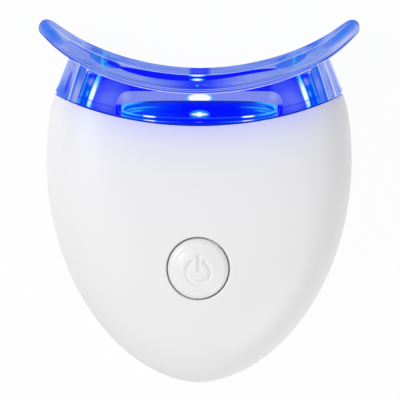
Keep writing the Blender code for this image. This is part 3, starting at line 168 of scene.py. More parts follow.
class Nodes:
    """Builds a node tree in short steps. A share is a number from 0 to 1."""

    def __init__(self, tree):
        self.tree = tree

    def put(self, socket, value):
        """Links an input to another node's output, or sets its value."""
        if isinstance(value, bpy.types.NodeSocket):
            self.tree.links.new(value, socket)
        elif hasattr(value, "__len__") and len(value) == 3 and len(socket.default_value) == 4:
            socket.default_value = (*value, 1.0)
        else:
            socket.default_value = value

    def add(self, kind, inputs=None, **settings):
        """Adds a node and fills in its inputs, by name or by number."""
        node = self.tree.nodes.new(f"ShaderNode{kind}")
        for key, value in settings.items():
            setattr(node, key, value)
        for key, value in (inputs or {}).items():
            self.put(node.inputs[key], value)
        return node

    def axes(self, attribute=None):
        """The three parts of the object's own place, or of an attribute."""
        if attribute:
            source = self.add("Attribute", attribute_name=attribute).outputs["Vector"]
        else:
            source = self.add("TexCoord").outputs["Object"]
        parts = self.add("SeparateXYZ", {"Vector": source})
        return parts.outputs["X"], parts.outputs["Y"], parts.outputs["Z"]

    def noise(self, scale, detail=2.0, stretch=(1.0, 1.0, 1.0)):
        source = self.add("TexCoord").outputs["Object"]
        place = self.add("Mapping", {"Vector": source, "Scale": stretch}).outputs["Vector"]
        inputs = {"Vector": place, "Scale": scale, "Detail": detail}
        return self.add("TexNoise", inputs).outputs["Fac"]

    def calc(self, operation, first, second=0.0, third=0.0, clamp=False):
        inputs = {0: first, 1: second, 2: third}
        return self.add("Math", inputs, operation=operation, use_clamp=clamp).outputs[0]

    def size(self, value):
        """The value without its sign."""
        return self.calc("ABSOLUTE", value)

    def less(self, value, amount):
        return self.calc("SUBTRACT", value, amount)

    def product(self, *values):
        return reduce(lambda total, value: self.calc("MULTIPLY", total, value), values)

    def largest(self, *values):
        return reduce(lambda total, value: self.calc("MAXIMUM", total, value), values)

    def rest(self, share):
        """What a share leaves of 1."""
        return self.calc("SUBTRACT", 1.0, share, clamp=True)

    def step(self, value, low, high):
        """0 at low and 1 at high, in a soft curve. Low may be above high."""
        inputs = {0: value, 1: low, 2: high, 3: 0.0, 4: 1.0}
        return self.add("MapRange", inputs, interpolation_type="SMOOTHSTEP").outputs[0]

    def ramp(self, value, low, high, start=0.0, end=1.0):
        inputs = {0: value, 1: low, 2: high, 3: start, 4: end}
        return self.add("MapRange", inputs, clamp=True).outputs[0]

    def between(self, share, start, end):
        """Goes from start to end as the share goes from 0 to 1."""
        return self.ramp(share, 0.0, 1.0, start, end)

    def inside(self, value, low, high, soft):
        """1 between low and high and 0 outside, with soft ends."""
        past_low = self.step(value, low - soft, low + soft)
        return self.product(past_low, self.step(value, high + soft, high - soft))

    def spot(self, places, centre, radii, power=1.0):
        """1 in the middle of an oval and 0 outside it."""
        total = 0.0
        for place, middle, radius in zip(places, centre, radii):
            off = self.calc("DIVIDE", self.less(place, middle), radius)
            total = self.calc("MULTIPLY_ADD", off, off, total)
        within = self.rest(total)
        return within if power == 1.0 else self.calc("POWER", within, power)

    def mixed(self, share, first, second):
        node = self.add("Mix", data_type="RGBA", clamp_factor=True)
        for index, value in ((0, share), (6, first), (7, second)):
            self.put(node.inputs[index], value)
        return node.outputs[2]

    def layers(self, colour, *tops):
        """Lays colours over each other. Each covers the product of the shares before it."""
        for *shares, top in tops:
            colour = self.mixed(self.product(*shares), colour, top)
        return colour

    def facing(self, blend=0.5):
        """0 where the surface faces the eye and 1 along its edges."""
        return self.add("LayerWeight", {"Blend": blend}).outputs["Facing"]

    def grain(self):
        """The fine grain of moulded plastic, as a normal."""
        inputs = {"Strength": 0.02, "Distance": 0.0001, "Height": self.noise(2600.0, 1.0)}
        return self.add("Bump", inputs).outputs["Normal"]


class Paint(Nodes):
    """The node tree of one material."""

    def __init__(self, name):
        self.material = bpy.data.materials.new(name)
        self.material.use_nodes = True
        super().__init__(self.material.node_tree)
        self.shader = self.tree.nodes["Principled BSDF"]

    def set(self, **values):
        for key, value in values.items():
            self.put(self.shader.inputs[key.replace("_", " ")], value)
        return self.material

    def lit(self, colour, alpha, roughness=0.07, gloss=0.05):
        """Clear plastic that is lit from inside, its light painted into the emission colour: alpha
        is how thick it looks.
        """
        return self.set(
            Base_Color=(0.004, 0.006, 0.02),
            Emission_Color=colour,
            Emission_Strength=1.0,
            Alpha=alpha,
            Roughness=roughness,
            Specular_IOR_Level=gloss,
        )


def lamp_sizes():
    """The sizes that are kept in the scene."""
    return bpy.context.scene.lamp_sizes


def lamp_colours():
    """The colours that are kept in the scene."""
    return bpy.context.scene.lamp_colours


def new_piece(name, bm, material=None, body="lamp", replaces=(), sharp=35):
    """Turns a bmesh into a smooth piece that rides on a body."""
    mesh = bpy.data.meshes.new(name)
    bm.to_mesh(mesh)
    bm.free()
    mesh.shade_smooth()
    mesh.set_sharp_from_angle(angle=math.radians(sharp))
    thing = bpy.data.objects.new(name, mesh)
    bpy.context.scene.collection.objects.link(thing)
    if material:
        mesh.materials.append(material)
    if body:
        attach(thing, body)
    if replaces:
        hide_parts(*replaces)
    return thing


def settle(bm):
    """Numbers a shape's points, edges and faces by place, so that each run gives the same."""
    slant = Vector((0.6173, 0.5309, 0.3741))
    bm.verts.sort(key=lambda vert: vert.co.dot(slant))
    for items in (bm.edges, bm.faces):
        items.sort(key=lambda item: sum(vert.co.dot(slant) for vert in item.verts))


def loft(rings, count, start="open", end="open"):
    """Skins rings, each a function from an angle to a point.

    The first and last stay open, close to a pole, or are joined to each other.
    """
    bm = bmesh.new()
    turns = bm.verts.layers.float.new("turn")
    steps = bm.verts.layers.float.new("step")
    for vert in bmesh.ops.create_circle(bm, segments=count, radius=1.0)["verts"]:
        vert[turns] = math.atan2(vert.co.y, vert.co.x)
        vert.co = rings[0](vert[turns])
    first = edges = list(bm.edges)
    for place, ring in enumerate(rings[1:], 1):
        made = bmesh.ops.extrude_edge_only(bm, edges=edges)["geom"]
        verts = {item for item in made if isinstance(item, bmesh.types.BMVert)}
        for vert in verts:
            vert.co = ring(vert[turns])
            vert[steps] = place
        made_edges = (item for item in made if isinstance(item, bmesh.types.BMEdge))
        edges = [edge for edge in made_edges if set(edge.verts) <= verts]
    if end == "joined":
        bmesh.ops.bridge_loops(bm, edges=first + edges)
    for state, ring_edges in ((start, first), (end, edges)):
        if state == "pole":
            total = sum((vert.co for edge in ring_edges for vert in edge.verts), Vector())
            made = bmesh.ops.extrude_edge_only(bm, edges=ring_edges)["geom"]
            verts = [item for item in made if isinstance(item, bmesh.types.BMVert)]
            bmesh.ops.pointmerge(bm, verts=verts, merge_co=total / (2 * len(ring_edges)))
    settle(bm)
    bmesh.ops.recalc_face_normals(bm, faces=bm.faces)
    bm.normal_update()
    return bm


def circle(radius, x, y, height):
    """A level ring about an upright axis."""
    return lambda turn: (x + radius * math.cos(turn), y + radius * math.sin(turn), height)


def upright(profile, x, y, count):
    """A round shape about an upright axis, from its radii and heights."""
    rings = [circle(radius, x, y, height) for radius, height in profile]
    return loft(rings, count, "pole", "pole")


def box(low, high):
    """A box between two far corners."""
    bm = bmesh.new()
    for vert in bmesh.ops.create_cube(bm, size=1.0)["verts"]:
        vert.co = [low[i] if vert.co[i] < 0 else high[i] for i in range(3)]
    return bm


def apply_modifiers(thing):
    """Makes a piece's modifiers part of its mesh."""
    bpy.context.view_layer.update()
    graph = bpy.context.evaluated_depsgraph_get()
    thing.data = bpy.data.meshes.new_from_object(thing.evaluated_get(graph))
    thing.modifiers.clear()
    return thing


def combine(thing, bm, operation="DIFFERENCE"):
    """Cuts, joins or trims a piece with another shape, which is then gone."""
    cutter = new_piece("cutter", bm, body=None)
    modifier = thing.modifiers.new("combine", "BOOLEAN")
    modifier.operation = operation
    modifier.solver = "EXACT"
    modifier.object = cutter
    apply_modifiers(thing)
    bpy.data.objects.remove(cutter)
    return thing


def soften(thing):
    """Mends the double points that cuts leave, and smooths all but the sharp edges."""
    bm = bmesh.new()
    bm.from_mesh(thing.data)
    bmesh.ops.remove_doubles(bm, verts=bm.verts, dist=4e-6)
    bmesh.ops.dissolve_degenerate(bm, edges=bm.edges, dist=1e-6)
    loose = [edge for edge in bm.edges if not edge.link_faces]
    bmesh.ops.delete(bm, geom=loose, context="EDGES")
    torn = [edge for edge in bm.edges if len(edge.link_faces) == 1]
    bmesh.ops.holes_fill(bm, edges=torn, sides=0)
    bm.to_mesh(thing.data)
    bm.free()
    thing.data.shade_smooth()
    thing.data.set_sharp_from_angle(angle=math.radians(35))
    return thing


def outline_point(turn, inset=0.0):
    """A point of the casing's outline seen from the front."""
    s = lamp_sizes()
    nose = math.sin(turn) > 0
    reach, power = (s.nose_reach, s.nose_power) if nose else (s.tail_reach - inset, s.tail_power)
    across = math.copysign(abs(math.cos(turn)) ** power, math.cos(turn))
    return (s.half_width - inset) * across, TAIL_Y + s.widest + reach * math.sin(turn)


def outline_share(x, y, inset=0.0):
    """The share of the casing's outline on which a point lies."""
    s = lamp_sizes()
    off = y - TAIL_Y - s.widest
    nose = off > 0
    reach, power = (s.nose_reach, s.nose_power) if nose else (s.tail_reach - inset, s.tail_power)
    low, high = abs(off) / reach, 2.0
    for _ in range(36):
        share = (low + high) / 2
        room = max(1 - (off / (reach * share)) ** 2, 0.0)
        if abs(x) > (s.half_width - inset) * share * room ** (power / 2):
            low = share
        else:
            high = share
    return min(high, 1.0)


def middle_z():
    """Height of the parting line."""
    return BACK_Z + lamp_sizes().drop


def front_z(x, y):
    s = lamp_sizes()
    return middle_z() + s.rise * (1 - outline_share(x, y) ** s.crown) ** (1 / s.shoulder)


def back_z(x, y, inset=0.0):
    s = lamp_sizes()
    turn = max(outline_share(x, y, inset) - s.flat_share, 0.0) / (1 - s.flat_share)
    return middle_z() - (s.drop - inset) * math.sqrt(1 - turn**2)


def seam_y(x):
    s = lamp_sizes()
    return TAIL_Y + s.seam + s.seam_radius - math.sqrt(s.seam_radius**2 - x**2)


def foot_y(x):
    """The neck's foot follows the casing's upper edge and is rounded at its two ends."""
    corner = lamp_sizes().foot_corner
    past = min(max(abs(x) - (FOOT_END - corner), 0.0), corner)
    return seam_y(x) + corner - math.sqrt(corner**2 - past**2)


def seam_turn():
    """Angle at which the outline meets the casing's upper edge."""
    low, high = 0.0, math.pi / 2
    for _ in range(40):
        turn = (low + high) / 2
        x, y = outline_point(turn)
        if y > seam_y(x):
            high = turn
        else:
            low = turn
    return low


def plate_rise(x, height):
    """How much further towards the mouth the lip plate stands at a place than in its middle."""
    s = lamp_sizes()
    bend = s.plate_radius - math.sqrt(s.plate_radius**2 - x**2)
    lift = s.tip_lift * (abs(x) / s.plate_half_width) ** 8
    cup = s.plate_cup if height > 0 else s.plate_back_cup
    return bend + lift + cup * min(abs(height) / s.plate_half_height, 1.0) ** 1.6


def plate_y(x, z):
    return TAIL_Y + lamp_sizes().plate + plate_rise(x, z - middle_z())


def plate_back(x, z):
    s = lamp_sizes()
    return plate_y(x, z) - s.plate_thickness / 2 / math.sqrt(1 - (x / s.plate_radius) ** 2)


def section(half_width, half_height, station, corner=3.2, back_corner=4.0):
    """A rounded ring about the lamp's long axis. Station gives its Y from X and Z."""

    def point(turn):
        across, up = math.cos(turn), math.sin(turn)
        power = back_corner if up < 0 else corner
        swell = (abs(across) ** power + abs(up) ** power) ** (-1 / power)
        x, z = half_width * swell * across, middle_z() + half_height * swell * up
        return x, station(x, z), z

    return point


def store(bm, name, function):
    """Keeps a vector of numbers at each point for the paint."""
    layer = bm.verts.layers.float_vector.new(name)
    for vert in bm.verts:
        vert[layer] = Vector(function(vert))


def store_top(bm):
    """Keeps how far each point lies below the lip plate."""
    store(bm, "top", lambda vert: (plate_back(vert.co.x, vert.co.z) - vert.co.y, 0, 0))


def casing_paint(name):
    """Smooth white plastic. The light of the mouthpiece shines through its upper part."""
    s, c = lamp_sizes(), lamp_colours()
    p = Paint(name)
    x, y, _ = p.axes()
    arc = p.calc("MULTIPLY_ADD", p.product(x, x), 0.5 / s.seam_radius, TAIL_Y + s.seam)
    fade_length = 0.0042
    fade = p.calc("EXPONENT", p.product(p.less(arc, y), -1 / fade_length))
    glow = p.calc("MULTIPLY", fade, p.step(p.size(x), 0.0320, 0.0190), clamp=True)
    return p.set(
        Base_Color=p.mixed(glow, c.casing, c.casing_glow),
        Roughness=p.ramp(p.noise(140.0), 0.2, 0.8, 0.30, 0.38),
        Specular_IOR_Level=0.3,
        Emission_Color=p.mixed(glow, (0.0, 0.0, 0.0), (0.0, 0.004, 0.20)),
        Emission_Strength=0.5,
        Normal=p.grain(),
    )


def casing_rings(front, inset=0.0):
    """Rings from the rim of one half of the casing to its middle, and the number of spokes."""
    count, seam_count, ring_count = 288, 96, 44
    hub_y = TAIL_Y + lamp_sizes().widest - 0.010
    lip = 0.00006  # half the parting line
    inner = 0.35  # share of the outline up to which a spoke's points are evenly spaced
    closeness = 1.1  # how much closer they get at the outline
    corner = seam_turn()
    corner_x = outline_point(corner)[0]

    def end_point(turn):
        place = (turn / TURN * count) % count
        if place < seam_count:
            x = corner_x * (1 - 2 * place / seam_count)
            return x, seam_y(x)
        sweep = (math.pi + 2 * corner) * (place - seam_count) / (count - seam_count)
        return outline_point(math.pi - corner + sweep, inset)

    ends = {}

    def spoke(turn):
        """The outer end of a spoke, and how much closer its points are there."""
        key = round(turn, 5)
        if key not in ends:
            x, y = end_point(turn)
            near = min(max((outline_share(x, y, inset) - inner) / (1 - inner), 0.0), 1.0)
            ends[key] = (x, y, 1 + closeness * near * near * (3 - 2 * near))
        return ends[key]

    def ring(share):
        def point(turn):
            x, y, power = spoke(turn)
            along = 1 - (1 - share) ** power
            x, y = x * along, hub_y + (y - hub_y) * along
            if front:
                return x, y, max(front_z(x, y), middle_z() + lip)
            return x, y, min(back_z(x, y, inset), middle_z() - lip)

        return point

    def lid(turn):
        return *spoke(turn)[:2], middle_z() + OVERRUN

    rings = [ring(1 - i / ring_count) for i in range(ring_count)]
    return ([lid] + rings if inset else rings), count


def casing_half(name, front, node):
    rings, count = casing_rings(front)
    bm = loft(rings, count, end="pole")
    outward = 1 if front else -1
    if sum(face.normal.z for face in bm.faces) * outward < 0:
        bmesh.ops.reverse_faces(bm, faces=bm.faces)
    thing = new_piece(name, bm, casing_paint(f"{name}_white"), "lamp", (node,))
    wall = thing.modifiers.new("wall", "SOLIDIFY")
    wall.thickness = lamp_sizes().wall
    wall.offset = -1.0
    return apply_modifiers(thing)


def back_form(inset):
    """The room inside the back, a little in from its outer face."""
    rings, count = casing_rings(False, inset)
    return loft(rings, count, "pole", "pole")


def symbol_groove(x, y):
    """Depth of the power symbol's groove at a place on the cap.

    The symbol is a ring that is open at its top, and a bar there.
    """
    s = lamp_sizes()
    off_middle, ring_drop, bar_share = 0.00010, 0.00050, 0.82
    x -= off_middle
    to_bar = math.hypot(x, y - min(max(y, 0.0), s.symbol_bar))
    y += ring_drop
    half = s.symbol_gap / 2
    if abs(math.atan2(x, y)) < half:
        end_x, end_y = s.symbol_radius * math.sin(half), s.symbol_radius * math.cos(half)
        to_ring = math.hypot(abs(x) - end_x, y - end_y)
    else:
        to_ring = abs(math.hypot(x, y) - s.symbol_radius)
    near = min(to_bar / bar_share, to_ring) / (s.symbol_line / 2)
    return s.symbol_depth * (1 + math.cos(math.pi * near)) / 2 if near < 1 else 0.0


def button_ring(radius, rise):
    """A ring about the button's axis at a height above the casing's face."""
    middle = TAIL_Y + lamp_sizes().button

    def point(turn):
        x, y = radius * math.cos(turn), middle + radius * math.sin(turn)
        return x, y, front_z(x, y) + rise - symbol_groove(x, y - middle)

    return point


def button_hole():
    """A plug with a flared top that follows the casing's face."""
    s = lamp_sizes()
    middle, radius, flare = TAIL_Y + s.button, s.button_radius + s.gap, 0.00034
    profile = ((0.0, -0.00030), (0.00006, -0.00014), (0.00018, -0.00003), (flare, 0.00004))
    rings = [circle(radius, 0, middle, middle_z() + s.wall)]
    rings += [button_ring(radius + out, rise) for out, rise in profile]
    rings += [circle(radius + flare, 0, middle, middle_z() + s.rise + OVERRUN)]
    return loft(rings, 128, "pole", "pole")


def door_bar(clearance, low, high, start, end):
    """A bar along the casing whose sides lean in towards the back."""
    half_width = lamp_sizes().door_half_width + clearance
    bm = box((-1, start, low), (1, end, high))
    for vert in bm.verts:
        lean = (BACK_Z + DOOR_WALL - vert.co.z) / 1.4
        vert.co.x = math.copysign(half_width - lean, vert.co.x)
    return bm


def screw_seats():
    """X and Y of each of the three screws, and its head's and its tip's height."""
    places = []
    for name in SCREWS:
        low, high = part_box(name)
        places.append(((low.x + high.x) / 2, (low.y + high.y) / 2, low.z, high.z))
    return places


def peg(radius, low, high, x, y, count=48):
    """An upright round peg. Its ends are counted from the flat back."""
    return upright([(radius, BACK_Z + low), (radius, BACK_Z + high)], x, y, count)


class LAMP_OT_casing(Operator):
    """Makes the two halves of the white casing"""

    bl_idname = "lamp.casing"
    bl_label = "Casing"

    def execute(self, context):
        s = lamp_sizes()
        front = casing_half("casing_front", True, "front_shell")
        soften(combine(front, button_hole()))
        back = casing_half("casing_back", False, "back_shell")
        start, end = TAIL_Y - OVERRUN, TAIL_Y + s.door + s.door_length + s.gap
        # All heights are counted from the flat back.
        bay_half_width, bay_wall, bay_low, bay_high = 0.0142, 0.0014, 0.0004, 0.0033
        ring_low, ring_high, cell_floor, channel = 0.0028, 0.0096, 0.0091, 0.0020
        tower, tower_low, tower_high = 0.0033, 0.0011, 0.0097
        head, shank, head_room, bore_top = 0.0024, 0.0014, 0.0016, 0.012
        corner = (bay_half_width, end + bay_wall, BACK_Z + bay_high)
        bm = box((-bay_half_width, TAIL_Y + 0.004, BACK_Z + bay_low), corner)
        floor = new_piece("bay_floor", bm, body=None)
        combine(floor, back_form(s.wall / 2), "INTERSECT")
        bm = bmesh.new()
        bm.from_mesh(floor.data)
        bpy.data.objects.remove(floor)
        combine(back, bm, "UNION")
        cell_low, cell_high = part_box("coin_cell_lower")
        cell_y = (cell_low.y + cell_high.y) / 2
        radius = (cell_high.y - cell_low.y) / 2 + s.gap
        combine(back, peg(radius + bay_wall, ring_low, ring_high, 0, cell_y, 96), "UNION")
        for x, y, *_ in screw_seats():
            combine(back, peg(tower, tower_low, tower_high, x, y), "UNION")
        combine(back, door_bar(s.gap, BACK_Z - OVERRUN, BACK_Z + channel, start, end))
        combine(back, peg(radius, 0, cell_floor, 0, cell_y, 96))
        for x, y, low, _ in screw_seats():
            seat = low + head_room
            profile = [(head, BACK_Z - OVERRUN), (head, seat)]
            profile += [(shank, seat), (shank, BACK_Z + bore_top)]
            combine(back, upright(profile, x, y, 48))
        soften(back)
        return {"FINISHED"}


class LAMP_OT_button(Operator):
    """Makes the round push button with its engraved power symbol"""

    bl_idname = "lamp.button"
    bl_label = "Button"

    def execute(self, context):
        s = lamp_sizes()
        middle = TAIL_Y + s.button
        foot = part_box("power_button")[0].z
        radius, edge, flange, stem = s.button_radius, s.button_edge, 0.0012, 0.0016
        bands, bends = 64, 8
        rings = []
        for i in range(1, bands + 1):
            share = i / bands
            rise = s.button_proud + s.button_dome * (1 - share**2)
            rings.append(button_ring((radius - edge) * share, rise))
        for i in range(1, bends + 1):
            bend = math.pi / 2 * i / bends
            fall = edge * 0.7 * (1 - math.cos(bend))
            rings.append(button_ring(radius - edge + edge * math.sin(bend), s.button_proud - fall))
        top, bottom = -s.wall - 0.00015, -s.wall - 0.0009
        rings += [button_ring(radius, top), button_ring(radius + flange, top)]
        rings += [button_ring(radius + flange, bottom)]
        under = front_z(0, middle - radius) - s.wall - 0.0011
        rings += [circle(stem, 0, middle, under), circle(stem, 0, middle, foot)]
        p = Paint("button_white")
        white = p.set(
            Base_Color=lamp_colours().button,
            Roughness=p.ramp(p.noise(160.0), 0.2, 0.8, 0.26, 0.33),
            Specular_IOR_Level=0.5,
            Normal=p.grain(),
        )
        bm = loft(rings, 224, "pole", "pole")
        new_piece("button_cap", bm, white, "button", ("power_button",), 50)
        return {"FINISHED"}


class LAMP_OT_lip_plate(Operator):
    """Makes the clear bent plate that the lips close on"""

    bl_idname = "lamp.lip_plate"
    bl_label = "Lip Plate"

    def execute(self, context):
        s = lamp_sizes()
        half = s.plate_thickness / 2
        bands, bends, probe = 28, 14, 1e-5

        def slope(x, height, across, up):
            ahead = plate_rise(x + across, height + up)
            return (ahead - plate_rise(x - across, height - up)) / (2 * probe)

        def ring(share, inset, depth):
            """Depth is 1 on the mouth's side of the wall and -1 on the lamp's side."""

            def point(turn):
                across, up = math.cos(turn), math.sin(turn)
                swell = (across**4 + up**4) ** (-0.25)
                x = share * (s.plate_half_width - inset) * swell * across
                height = share * (s.plate_half_height - inset) * swell * up
                slope_x, slope_z = slope(x, height, probe, 0.0), slope(x, height, 0.0, probe)
                normal = Vector((-slope_x, 1.0, -slope_z)).normalized()
                y = TAIL_Y + s.plate + plate_rise(x, height)
                return Vector((x, y, middle_z() + height)) + normal * half * depth

            return point

        rows = [(i / bands, s.plate_rim, 1.0) for i in range(1, bands + 1)]
        for i in range(1, bends):
            bend = math.pi * i / bends
            rows.append((1.0, s.plate_rim * (1 - math.sin(bend)), math.cos(bend)))
        rows += [(i / bands, s.plate_rim, -1.0) for i in range(bands, 0, -1)]
        bm = loft([ring(*row) for row in rows], 288, "pole", "pole")
        steps = bm.verts.layers.float["step"]

        def place(vert):
            depth = rows[min(round(vert[steps]), len(rows) - 1)][2]
            height = (vert.co.z - middle_z()) / s.plate_half_height
            return vert.co.x / s.plate_half_width, height, depth

        store(bm, "place", place)
        new_piece("lip_plate", bm, plate_paint(), "lamp", ("mouthpiece",), 180)
        return {"FINISHED"}


def plate_paint():
    """Painted light of the lip plate, by place across it, up it and through it: its blue glow,
    streaks of light, glints, highlight lines and dark edges.
    """
    c = lamp_colours()
    p = Paint("lip_plate_lit")
    across, height, depth = p.axes("place")

    def spot(*settings):
        return p.spot((across, depth), *settings)

    side = p.size(across)
    right = p.step(across, -0.05, 0.05)
    front = p.step(height, -0.2, 0.2)
    rim = p.step(p.size(depth), 0.998, 0.985)
    # Painted light: brighter and dimmer streaks, patches of blue light and specks of glints.
    light_streaks = p.noise(520.0, 3.0, (0.16, 1.0, 1.0))
    bright = p.step(light_streaks, 0.52, 0.66)
    dim = p.step(light_streaks, 0.48, 0.34)
    light_patches = p.step(p.noise(300.0, 2.0, (0.6, 1.0, 1.0)), 0.46, 0.62)
    glint_specks = p.step(p.noise(1100.0, 2.0, (0.5, 1.0, 1.0)), 0.52, 0.66)
    grazing = p.facing(0.4)
    mouth = p.step(depth, 0.2, 0.9)
    flat = p.product(p.step(depth, -0.990, -0.999), front)
    calm = p.calc("MULTIPLY_ADD", flat, -0.85, 1.0)
    belt = p.inside(side, 0.50, 0.80, 0.05)
    # Painted glow of the plate's lamp side, of its mouth's face and of the flat ledge, with a dark
    # edge line and pale shine on the ledge.
    back = p.layers(
        c.pale,
        (p.step(side, 0.34, 0.12), 0.8, c.violet),
        (p.step(side, 0.20, 0.02), 0.85, c.deep),
        (p.step(side, 0.78, 0.92), p.between(right, 0.4, 1.0), c.haze),
    )
    face = p.layers(
        c.pale,
        (p.step(side, 0.68, 0.76), 0.75, c.haze),
        (p.step(grazing, 0.45, 1.0), 0.5, c.azure),
        (right, 0.22, c.azure),
    )
    ledge = p.layers(
        back,
        (p.step(height, 0.70, 0.62), c.violet),
        (p.inside(height, 0.53, 0.63, 0.02), 0.9, c.edge),
        (p.step(height, 0.40, 0.30), c.shine),
    )
    # The dark lens of light in the middle: half its depth, and its middle line.
    narrow = p.rest(p.calc("POWER", p.calc("DIVIDE", side, 0.5), 4.0))
    wide = p.calc("MULTIPLY_ADD", p.largest(across, 0.0), -0.55, 0.55)
    half = p.product(p.calc("SQRT", narrow), wide)
    past = p.largest(p.less(across, 0.22), 0.0)
    bow = p.calc("MULTIPLY_ADD", across, 0.55, 0.45)
    bow = p.calc("MULTIPLY_ADD", p.product(past, past), -10.0, bow)
    off = p.size(p.less(depth, bow))
    lens = p.product(p.step(p.less(half, off), -0.05, 0.06), rim, front)
    lens = p.product(lens, p.step(depth, 0.99, 0.95))
    # Painted blue glow at both tips.
    tip_left = spot((-0.93, -0.05), (0.085, 1.0), 0.6)
    tip_right = spot((0.915, 0.25), (0.14, 0.85), 0.6)
    tip_right = p.product(tip_right, p.ramp(light_streaks, 0.4, 0.5, 0.9, 1.0))
    tips = p.largest(tip_left, tip_right)
    wide_patch = p.spot((side, depth), (0.585, 0.32), (0.105, 0.64), 0.5)
    patch = p.step(wide_patch, 0.0, 0.6)
    patch_left = p.product(p.step(across, -0.60, -0.55), p.step(across, 0.0, -0.1))
    # Painted highlight lines along the rims.
    mouth_line = p.product(p.inside(depth, 0.86, 0.985, 0.03), rim, front)
    back_line = p.product(p.inside(depth, -0.97, -0.86, 0.03), rim, front)
    back_line = p.product(back_line, p.step(p.product(right, side), 0.5, 0.6))
    colour = p.layers(
        p.mixed(mouth, p.mixed(flat, back, ledge), face),
        (bright, calm, 0.25, c.haze),
        (dim, calm, 0.30, c.azure),
        (belt, light_patches, mouth, 0.75, c.azure),
        (belt, glint_specks, 0.25, c.cyan),
        # Painted deep blue light in the middle, and patches of blue light with glints to each side.
        (p.step(side, 0.080, 0.045), mouth, 0.8, c.deep),
        (p.inside(depth, 0.55, 0.80, 0.06), p.inside(across, -0.80, -0.60, 0.03), 0.7, c.deep),
        (patch, p.ramp(glint_specks, 0.0, 0.5, 0.8, 1.0), c.azure),
        (patch, patch_left, c.deep),
        (wide_patch, glint_specks, 0.5, c.cyan),
        (p.inside(side, 0.594, 0.612, 0.008), p.between(glint_specks, 0.45, 1.0), c.cyan),
        (p.step(side, 0.93, 0.985), 0.25, c.azure),
        (tip_left, 0.92, c.azure),
        (tip_right, 0.95, c.azure),
        (tips, p.between(bright, 0.08, 0.3), c.cyan),
        (lens, c.deep),
        (mouth_line, 0.85, c.shine),
        (back_line, 0.8, c.shine),
        # Painted glints down the middle of the rim.
        (spot((-0.006, 0.82), (0.075, 0.30), 1.2), rim, c.cyan),
        (spot((-0.006, 0.82), (0.050, 0.20), 0.5), rim, c.spark),
        (spot((-0.006, 0.10), (0.055, 0.30), 1.2), rim, c.cyan),
        (spot((-0.006, 0.10), (0.032, 0.16), 0.5), rim, c.spark),
        (spot((-0.006, -0.75), (0.012, 0.16), 0.8), rim, 0.8, c.cyan),
        # Painted dark edges: along the back rim, at the bottom, and where the surface turns from
        # the eye.
        (p.inside(depth, -0.985, -0.90, 0.02), rim, front, 0.45, c.edge),
        (p.step(height, -0.87, -0.92), 0.5, c.edge),
        (p.step(grazing, 0.80, 0.98), p.rest(flat), 0.9, c.edge),
    )
    solid = p.largest(lens, mouth_line, p.product(rim, 0.94), p.product(tips, 0.97))
    alpha = p.largest(p.ramp(grazing, 0.2, 0.8, 0.90, 0.97), solid, p.product(flat, 0.97))
    return p.lit(colour, alpha, gloss=0.0)


class LAMP_OT_neck(Operator):
    """Makes the clear neck between the casing and the lip plate"""

    bl_idname = "lamp.neck"
    bl_label = "Neck"

    def execute(self, context):
        s = lamp_sizes()
        foot, height, wall = 0.02864, 0.0113, 0.0015
        narrowing, lowering = 0.0028, 0.0014
        socket, socket_height, tongue = 0.02697, 0.0100, 0.0014
        bands = 8

        def above(rise):
            return lambda x, z: foot_y(x) + s.gap + rise

        def top_y(x, z):
            return plate_y(x, z) - s.plate_thickness * 0.35

        def low_end(x, _):
            return seam_y(x) - 0.0035

        def slope(share, inset):
            """A ring between the foot and the plate."""

            def station(x, z):
                return (1 - share) * (foot_y(x) + s.gap) + share * top_y(x, z)

            across, up = foot - inset - narrowing * share, height - inset - lowering * share
            return section(across, up, station)

        outer = [slope(i / bands, 0) for i in range(bands, 0, -1)]
        inner = [slope(i / bands, wall) for i in range(1, bands + 1)]
        rounding = ((0, 0.00012), (0.00005, 0.00003), (0.00017, 0.0))
        rings = outer + [section(foot - inset, height - inset, above(y)) for inset, y in rounding]
        rings += [section(socket, socket_height, y) for y in (above(0.0), low_end)]
        inside = socket - tongue, socket_height - tongue
        rings += [section(*inside, y) for y in (low_end, above(0.0015))]
        bm = loft(rings + inner, 288, end="joined")

        def place(vert):
            x, y, z = vert.co
            bottom = foot_y(x) + s.gap
            share = min(max((y - bottom) / (top_y(x, z) - bottom), 0.0), 1.0)
            return x / (foot - narrowing * share), y - foot_y(x), (z - middle_z()) / height

        store(bm, "place", place)
        store_top(bm)
        new_piece("neck_wall", bm, neck_paint(), "lamp", ("mouthpiece",), 40)
        return {"FINISHED"}


